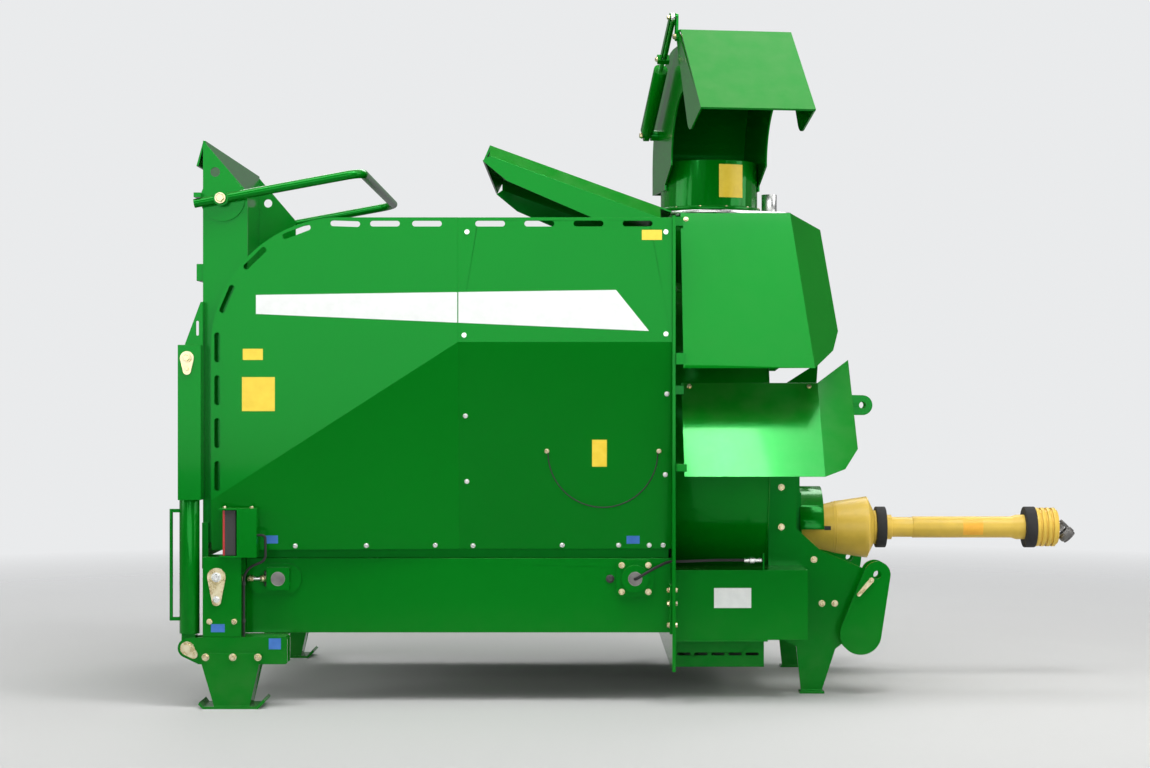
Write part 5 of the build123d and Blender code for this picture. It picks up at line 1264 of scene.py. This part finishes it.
@dataclass
class Blower(SubAssembly):
    """Rotor, hood, fan, turntable and the chute with its flap and ram."""

    coats = (
        (GREEN, 1.2, "bulkhead rotor_cheeks fan_drum outlet_neck rotor_hood"),
        (GREEN, 1.2, "chute_neck chute_spout chute_flap flap_barrel"),
        (STEEL, 1.5, "rotor fan"), (SILVER, 1.2, "turntable"), (SILVER, 2.0, "slew_motor"), (ROD, 0.6, "flap_rod"),
        (RUBBER, 0.0, "grease_line"),
    )
    middle: Point = (266, 0)
    turn: float = 9.0
    base_z: float = 1780.3
    ring_bolts: int = 12
    ring_radius: float = 177
    ring_bolt_radius: float = 8.5
    ring_reach: float = 100
    flange_top: float = 1792.3
    flange_radius: float = 190
    flange_bolt_radius: float = 5
    neck_radius: float = 184
    neck_sticker: tuple[Point, Point] = ((293, 383), (1827, 1951))
    sticker_columns: int = 8
    drum_radius: float = 590
    drum_front: float = 447
    drum_z: float = 930
    drum_inset: float = 0.5
    bead_step: float = 1
    bead_steps: int = 72
    hinge: Triple = (-400, 608, 12)
    stay: Triple = (-335, 622, 10)
    ram_base: Triple = (100, 304, 13)
    chute_reach: float = 600
    fitting: Triple = (356, -588, 500)
    fitting_profile: tuple[Point, ...] = ((0, 7), (6, 9), (18, 9), (20, 12), (36, 12), (38, 8), (62, 8))
    fitting_sides: int = 18
    lever_pin: Point = (-405, 676)
    ram_x: float = -225
    link_run: Point = (402, 640)
    link_step: float = 9.5
    link_half: Point = (11, 2)
    block_half: Point = (15, 22)
    block_length: float = 22
    link_bolts: Point = (12.5, 2)
    link_bolt_radius: float = 10

    def at(self, x: float, y: float, z: float) -> Vector:
        """Return a point of the chute's own frame, across it, away from its outlet and up, in the machine's frame."""
        cos, sin = math.cos(math.radians(self.turn)), math.sin(math.radians(self.turn))
        return Vector((self.middle[0] + x * cos - y * sin, self.middle[1] + x * sin + y * cos, self.base_z + z)) * MM

    def build(self) -> None:
        """Make the bolts, welds and fittings of the blower."""
        table = Surface("turntable")
        for turn in circle(self.ring_bolts, 0.5):
            x, y = self.middle[0] + self.ring_radius * math.cos(turn), self.ring_radius * math.sin(turn)
            seat = table.seat(Aim.FROM_BELOW, x, y, self.ring_reach)
            self.shop.bolt(seat, self.ring_bolt_radius, finish=SILVER)
        across = self.at(1000, 0, 0) - self.at(0, 0, 0)
        for node, body, (y, z, radius) in (
            ("chute_flap", "flap", self.hinge),
            ("chute_spout", "chute", self.stay),
            ("chute_spout", "chute", self.ram_base),
        ):
            for sign in (-1, 1):
                seat = Surface(node).cast(self.at(sign * self.chute_reach, y, z), -across * sign)
                self.shop.bolt(seat, radius, body)
        self.seams()
        form = bmesh.new()
        lathe(form, self.fitting_profile, Vector(self.fitting) * MM, FORWARD, self.fitting_sides)
        self.shop.piece("grease_fitting", form, SILVER)
        radius, top = self.flange_radius, self.flange_top - self.base_z
        for turn in circle(self.ring_bolts, 0.25):
            spot = self.at(radius * math.cos(turn), radius * math.sin(turn), top)
            self.shop.bolt(Seat(spot, UP), self.flange_bolt_radius, "chute")
        self.shop.sticker("sticker_neck", Surface("chute_neck"), Side.RIGHT, *self.neck_sticker, YELLOW_FOIL, "chute",
                          columns=self.sticker_columns)
        self.ram_links()

    def seams(self) -> None:
        """Make the round welds of the chute's neck and the drum's rim."""
        turns = [2 * math.pi * step / self.bead_steps for step in range(self.bead_steps + 1)]
        radius, z = self.neck_radius + self.bead_step, self.flange_top - self.base_z + self.bead_step
        self.shop.weld([self.at(radius * math.cos(turn), radius * math.sin(turn), z) for turn in turns], "chute")
        rim = self.drum_radius - self.drum_inset
        self.shop.weld([
            Vector((self.drum_front, rim * math.cos(turn), self.drum_z + rim * math.sin(turn))) * MM for turn in turns
        ])

    def ram_links(self) -> None:
        """Make the flat bars beside the flap ram's rod and the block that joins them."""
        (base_y, base_z, _), (pin_y, pin_z) = self.ram_base, self.lever_pin
        run = math.hypot(pin_y - base_y, pin_z - base_z)
        way = Vector(((pin_y - base_y) / run, (pin_z - base_z) / run))
        across = self.at(1, 0, 0) - self.at(0, 0, 0)
        beside = self.at(0, -way.y, way.x) - self.at(0, 0, 0)

        def along(x: float, length: float) -> Vector:
            """Return the point at a length along the ram."""
            return self.at(x, base_y + way.x * length, base_z + way.y * length)

        form = bmesh.new()
        low, high = self.link_run
        wide, deep = self.link_half
        for sign in (-1, 1):
            x = self.ram_x + sign * self.link_step
            bar(form, along(x, low), along(x, high), beside * wide, across * deep)
        wide, deep = self.block_half
        bar(form, along(self.ram_x, low), along(self.ram_x, low + self.block_length), beside * wide, across * deep)
        self.shop.piece("ram_link_bars", form, GREEN, "flap_rod", rounding=1.0)
        for length, out in zip((low + self.block_length / 2, run), self.link_bolts):
            place = along(self.ram_x - self.link_step - out, length)
            self.shop.bolt(Seat(place, -across.normalized()), self.link_bolt_radius, "flap_rod")


@dataclass
class Guards(SubAssembly):
    """Bent sheet guards over the fan, with the rails and tray below them."""

    coats = ((GREEN, 1.2, "upper_guards lower_guards front_rails front_cross_tube fan_tray"),)
    lower_bolts: tuple[Point, ...] = ((160, 1118), (585, 1118))
    upper_bolts: tuple[Point, ...] = ((150, 1715),)
    guard_bolt_radius: float = 9
    flange_y: float = 675
    flange_bolts: tuple[float, ...] = (402, 354, 278)
    flange_bolt_radius: float = 11
    flange_reach: float = 300
    plate: tuple[Point, Point] = ((249, 381), (330, 401))

    def build(self) -> None:
        """Make the bolts and the blank plate."""
        lower, upper = Surface("lower_guards"), Surface("upper_guards")
        rails, bulkhead, bed = Surface("front_rails"), Surface("bulkhead"), Surface("bed_rails")
        for side in Side:
            self.row(lower, side, self.lower_bolts, self.guard_bolt_radius)
            self.row(upper, side, self.upper_bolts, self.guard_bolt_radius)
            y = side.value * self.flange_y
            for z in self.flange_bolts:
                for seat in (bed.seat(Aim.FROM_REAR, y, z, 0), bulkhead.seat(Aim.FROM_FRONT, y, z, self.flange_reach)):
                    self.shop.bolt(seat, self.flange_bolt_radius)
            self.shop.sticker(f"blank_plate_{side.name.lower()}", rails, side, *self.plate, WHITE_FOIL)


@dataclass
class Hitch(SubAssembly):
    """Three-point headstock with its plates, lobes and latches."""

    coats = ((GREEN, 2.0, "hitch_plates hitch_lobes"), (GREEN, 1.5, "headstock"), (ZINC, 1.5, "hitch_latches"))
    plate_bolts: tuple[Point, ...] = ((508, 750), (508, 605), (627, 486), (656, 326), (703, 326))
    plate_bolt_radius: float = 12
    plate_y: float = 380
    latch_bolts: tuple[Point, ...] = ((826, 418),)
    latch_bolt_radius: float = 8
    foot_weld: Point = (582, 652)
    foot_top: float = 9
    bead_step: float = 1

    def build(self) -> None:
        """Make the bolts and foot welds."""
        plates, latches = Surface("hitch_plates"), Surface("hitch_latches")
        for side in Side:
            self.row(plates, side, self.plate_bolts, self.plate_bolt_radius)
            self.row(latches, side, self.latch_bolts, self.latch_bolt_radius)
            y = side.value * (self.plate_y + self.bead_step)
            self.shop.weld([Vector((x, y, self.foot_top)) * MM for x in self.foot_weld])


@dataclass
class DriveLine(SubAssembly):
    """Gearbox, shield and the guarded drive shaft with its end yoke."""

    coats = (
        (GREEN, 6.0, "gearbox"), (GREEN, 1.0, "pto_shield"), (YELLOW, 1.0, "pto_bell_guard pto_guard_tube"),
        (YELLOW, 0.8, "pto_ribbed_collar"), (RUBBER, 3.0, "pto_rings"), (STEEL, 1.0, "pto_shaft"),
        (STEEL, 1.2, "pto_yoke"),
    )
    axis_z: float = 581
    cover_face: Triple = (600, 0, 930)
    cover_profile: tuple[Point, ...] = ((0, 78), (10, 78), (14, 74), (14, 42), (24, 38), (24, 10))
    cover_sides: int = 40
    cover_bolts: int = 6
    cover_bolt_circle: Point = (14.2, 60)
    cover_bolt_radius: float = 8
    shield_bolts: int = 8
    shield_bolt_circle: float = 105
    shield_bolt_radius: float = 9
    clip: tuple[Point, Point] = ((698, 722), (575, 590))
    label: tuple[Point, Point] = ((1232, 1308), (553, 609))
    ridges: tuple[Point, ...] = ((736, 96.6), (746, 98.8))
    ridge_profile: tuple[Point, ...] = ((-1.5, -1), (-1.5, 0.4), (0, 1.2), (1.5, 0.8), (1.5, -1))
    ridge_sides: int = 64

    def build(self) -> None:
        """Make the gearbox covers, the bell's clip and ridges, and the blank label."""
        box = Surface("gearbox", "pto_shield")
        form = bmesh.new()
        face = Vector(self.cover_face) * MM
        lathe(form, self.cover_profile, face, FORWARD, self.cover_sides)
        self.shop.piece("bearing_cover", form, GREEN, rounding=1.0)
        out, radius = (size * MM for size in self.cover_bolt_circle)
        for turn in circle(self.cover_bolts):
            spot = face + Vector((out, radius * math.cos(turn), radius * math.sin(turn)))
            self.shop.bolt(Seat(spot, FORWARD), self.cover_bolt_radius)
        radius = self.shield_bolt_circle
        for turn in circle(self.shield_bolts, 0.5):
            seat = box.seat(Aim.FROM_FRONT, radius * math.cos(turn), self.axis_z + radius * math.sin(turn))
            self.shop.bolt(seat, self.shield_bolt_radius)
        bell, tube = Surface("pto_bell_guard"), Surface("pto_guard_tube")
        self.shop.sticker("bell_clip", bell, Side.RIGHT, *self.clip, BLACK, columns=3, rows=3)
        self.shop.sticker("tube_label", tube, Side.RIGHT, *self.label, ORANGE_FOIL, rows=10)
        form = bmesh.new()
        for x, radius in self.ridges:
            profile = [(along, radius + out) for along, out in self.ridge_profile]
            lathe(form, profile, Vector((x, 0, self.axis_z)) * MM, FORWARD, self.ridge_sides)
        self.shop.piece("bell_ridges", form, YELLOW)


@dataclass
class Studio:
    """Pale floor, soft light and the camera at the photograph's place."""

    camera_place: Triple = (-0.246, -8.525, 1.12)
    lens: float = 69.8
    sensor: float = 36.0
    shift: float = 0.0017
    floor_half: float = 12.0
    floor_fade: Point = (2.2, 7.5)
    floor_colour: Colour = (0.50, 0.50, 0.495)
    floor_tones: Point = (0.985, 1.015)
    floor_roughness: float = 0.8
    floor_shine: float = 0.2
    sky: Colour = (0.82, 0.83, 0.84)
    fill_strength: float = 0.30
    lamps: tuple[tuple[str, Triple, Point, float], ...] = (
        ("overhead", (0.0, -2.3, 5.2), (6.0, 2.2), 250.0),
        ("wall_box", (-0.2, -9.6, 2.15), (10.0, 3.3), 300.0),
        ("front_end", (6.0, -2.0, 3.4), (4.0, 3.0), 110.0),
        ("rear_end", (-6.0, -2.0, 3.4), (4.0, 3.0), 110.0),
        ("far_side", (0.0, 3.6, 5.2), (6.0, 2.2), 230.0),
        ("guard_sheen", (0.56, -2.0, 5.2), (0.42, 0.9), 36.0),
        ("guard_front", (0.9, -5.0, 5.6), (1.8, 1.5), 28.0),
        ("flap_top", (1.1, 0.3, 5.2), (1.3, 1.3), 9.0),
    )
    target: Triple = (0.0, 0.0, 1.3)

    def build(self) -> None:
        """Make the floor, world, lamps and camera."""
        scene = bpy.context.scene
        scene.view_settings.view_transform = "Standard"
        self.floor()
        self.world(scene)
        for name, place, size, power in self.lamps:
            light = bpy.data.lights.new(name, "AREA")
            light.shape = "RECTANGLE"
            light.size, light.size_y = size
            light.energy = power
            lamp = bpy.data.objects.new(name, light)
            lamp.location = place
            lamp.rotation_euler = (Vector(self.target) - Vector(place)).to_track_quat("-Z", "Y").to_euler()
            lamp.visible_camera = False
            scene.collection.objects.link(lamp)
        eye = bpy.data.cameras.new("camera")
        eye.lens = self.lens
        eye.sensor_width = self.sensor
        eye.shift_y = self.shift
        camera = bpy.data.objects.new("camera", eye)
        camera.location = self.camera_place
        camera.rotation_euler = (math.pi / 2, 0.0, 0.0)
        scene.collection.objects.link(camera)
        scene.camera = camera

    def floor(self) -> None:
        """Lay the pale floor."""
        form = bmesh.new()
        corners = ((-1, -1), (1, -1), (1, 1), (-1, 1))
        form.faces.new([form.verts.new((x * self.floor_half, y * self.floor_half, 0.0)) for x, y in corners])
        mesh = bpy.data.meshes.new("floor")
        form.to_mesh(mesh)
        form.free()
        material = bpy.data.materials.new("pale_floor")
        material.use_nodes = True
        wiring = Wiring(material.node_tree)
        shader = material.node_tree.nodes["Principled BSDF"].inputs
        cloud = TONE.place(wiring, Scale=0.6, Contrast=0.6)["Tone"]
        dark, pale = (shade(self.floor_colour, share) for share in self.floor_tones)
        wiring.put(shader["Base Color"], wiring.mix(cloud, dark, pale))
        far = wiring.out("ShaderNodeVectorMath", {0: wiring.spot()}, "Value", operation="LENGTH")
        wiring.put(shader["Alpha"], wiring.spread(far, *self.floor_fade, 1.0, 0.0))
        wiring.put(shader["Roughness"], self.floor_roughness)
        wiring.put(shader["Specular IOR Level"], self.floor_shine)
        mesh.materials.append(material)
        floor = bpy.data.objects.new("floor", mesh)
        bpy.context.scene.collection.objects.link(floor)

    def world(self, scene: bpy.types.Scene) -> None:
        """Light the scene softly and show a pale background.

        Args:
            scene: the scene.
        """
        world = bpy.data.worlds.new("studio")
        world.use_nodes = True
        scene.world = world
        wiring = Wiring(world.node_tree)
        world.node_tree.nodes.clear()
        soft = wiring.out("ShaderNodeBackground", {0: shade(self.sky), 1: self.fill_strength})
        shown = wiring.out("ShaderNodeBackground", {0: shade(self.sky), 1: 1.0})
        path = wiring.add("ShaderNodeLightPath").outputs
        seen = wiring.math("MAXIMUM", path["Is Camera Ray"], path["Is Transmission Ray"])
        mixed = wiring.out("ShaderNodeMixShader", {0: seen, 1: soft, 2: shown})
        wiring.put(wiring.add("ShaderNodeOutputWorld").inputs[0], mixed)


def clear_leftovers() -> None:
    """Remove the objects that a new file starts with."""
    own = set(frame["nodes"].values()) | set(frame["bodies"].values())
    for thing in list(bpy.context.scene.objects):
        if thing not in own:
            bpy.data.objects.remove(thing, do_unlink=True)


def main() -> None:
    """Build the studio and every sub-assembly in order, then make the bolts and welds."""
    logging.basicConfig(level=logging.INFO, format="%(message)s")
    clear_leftovers()
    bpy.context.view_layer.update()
    Studio().build()
    shop = Workshop()
    for kind in (SideWalls, BedFrame, RearEnd, Tailgate, Blower, Guards, Hitch, DriveLine):
        part = kind(shop)
        part.dress()
        part.build()
        log.info("finished %s", kind.__name__)
    shop.make_bolts()
    shop.make_welds()
    log.info("%d pieces added", shop.count)


if __name__ == "__main__":
    main()
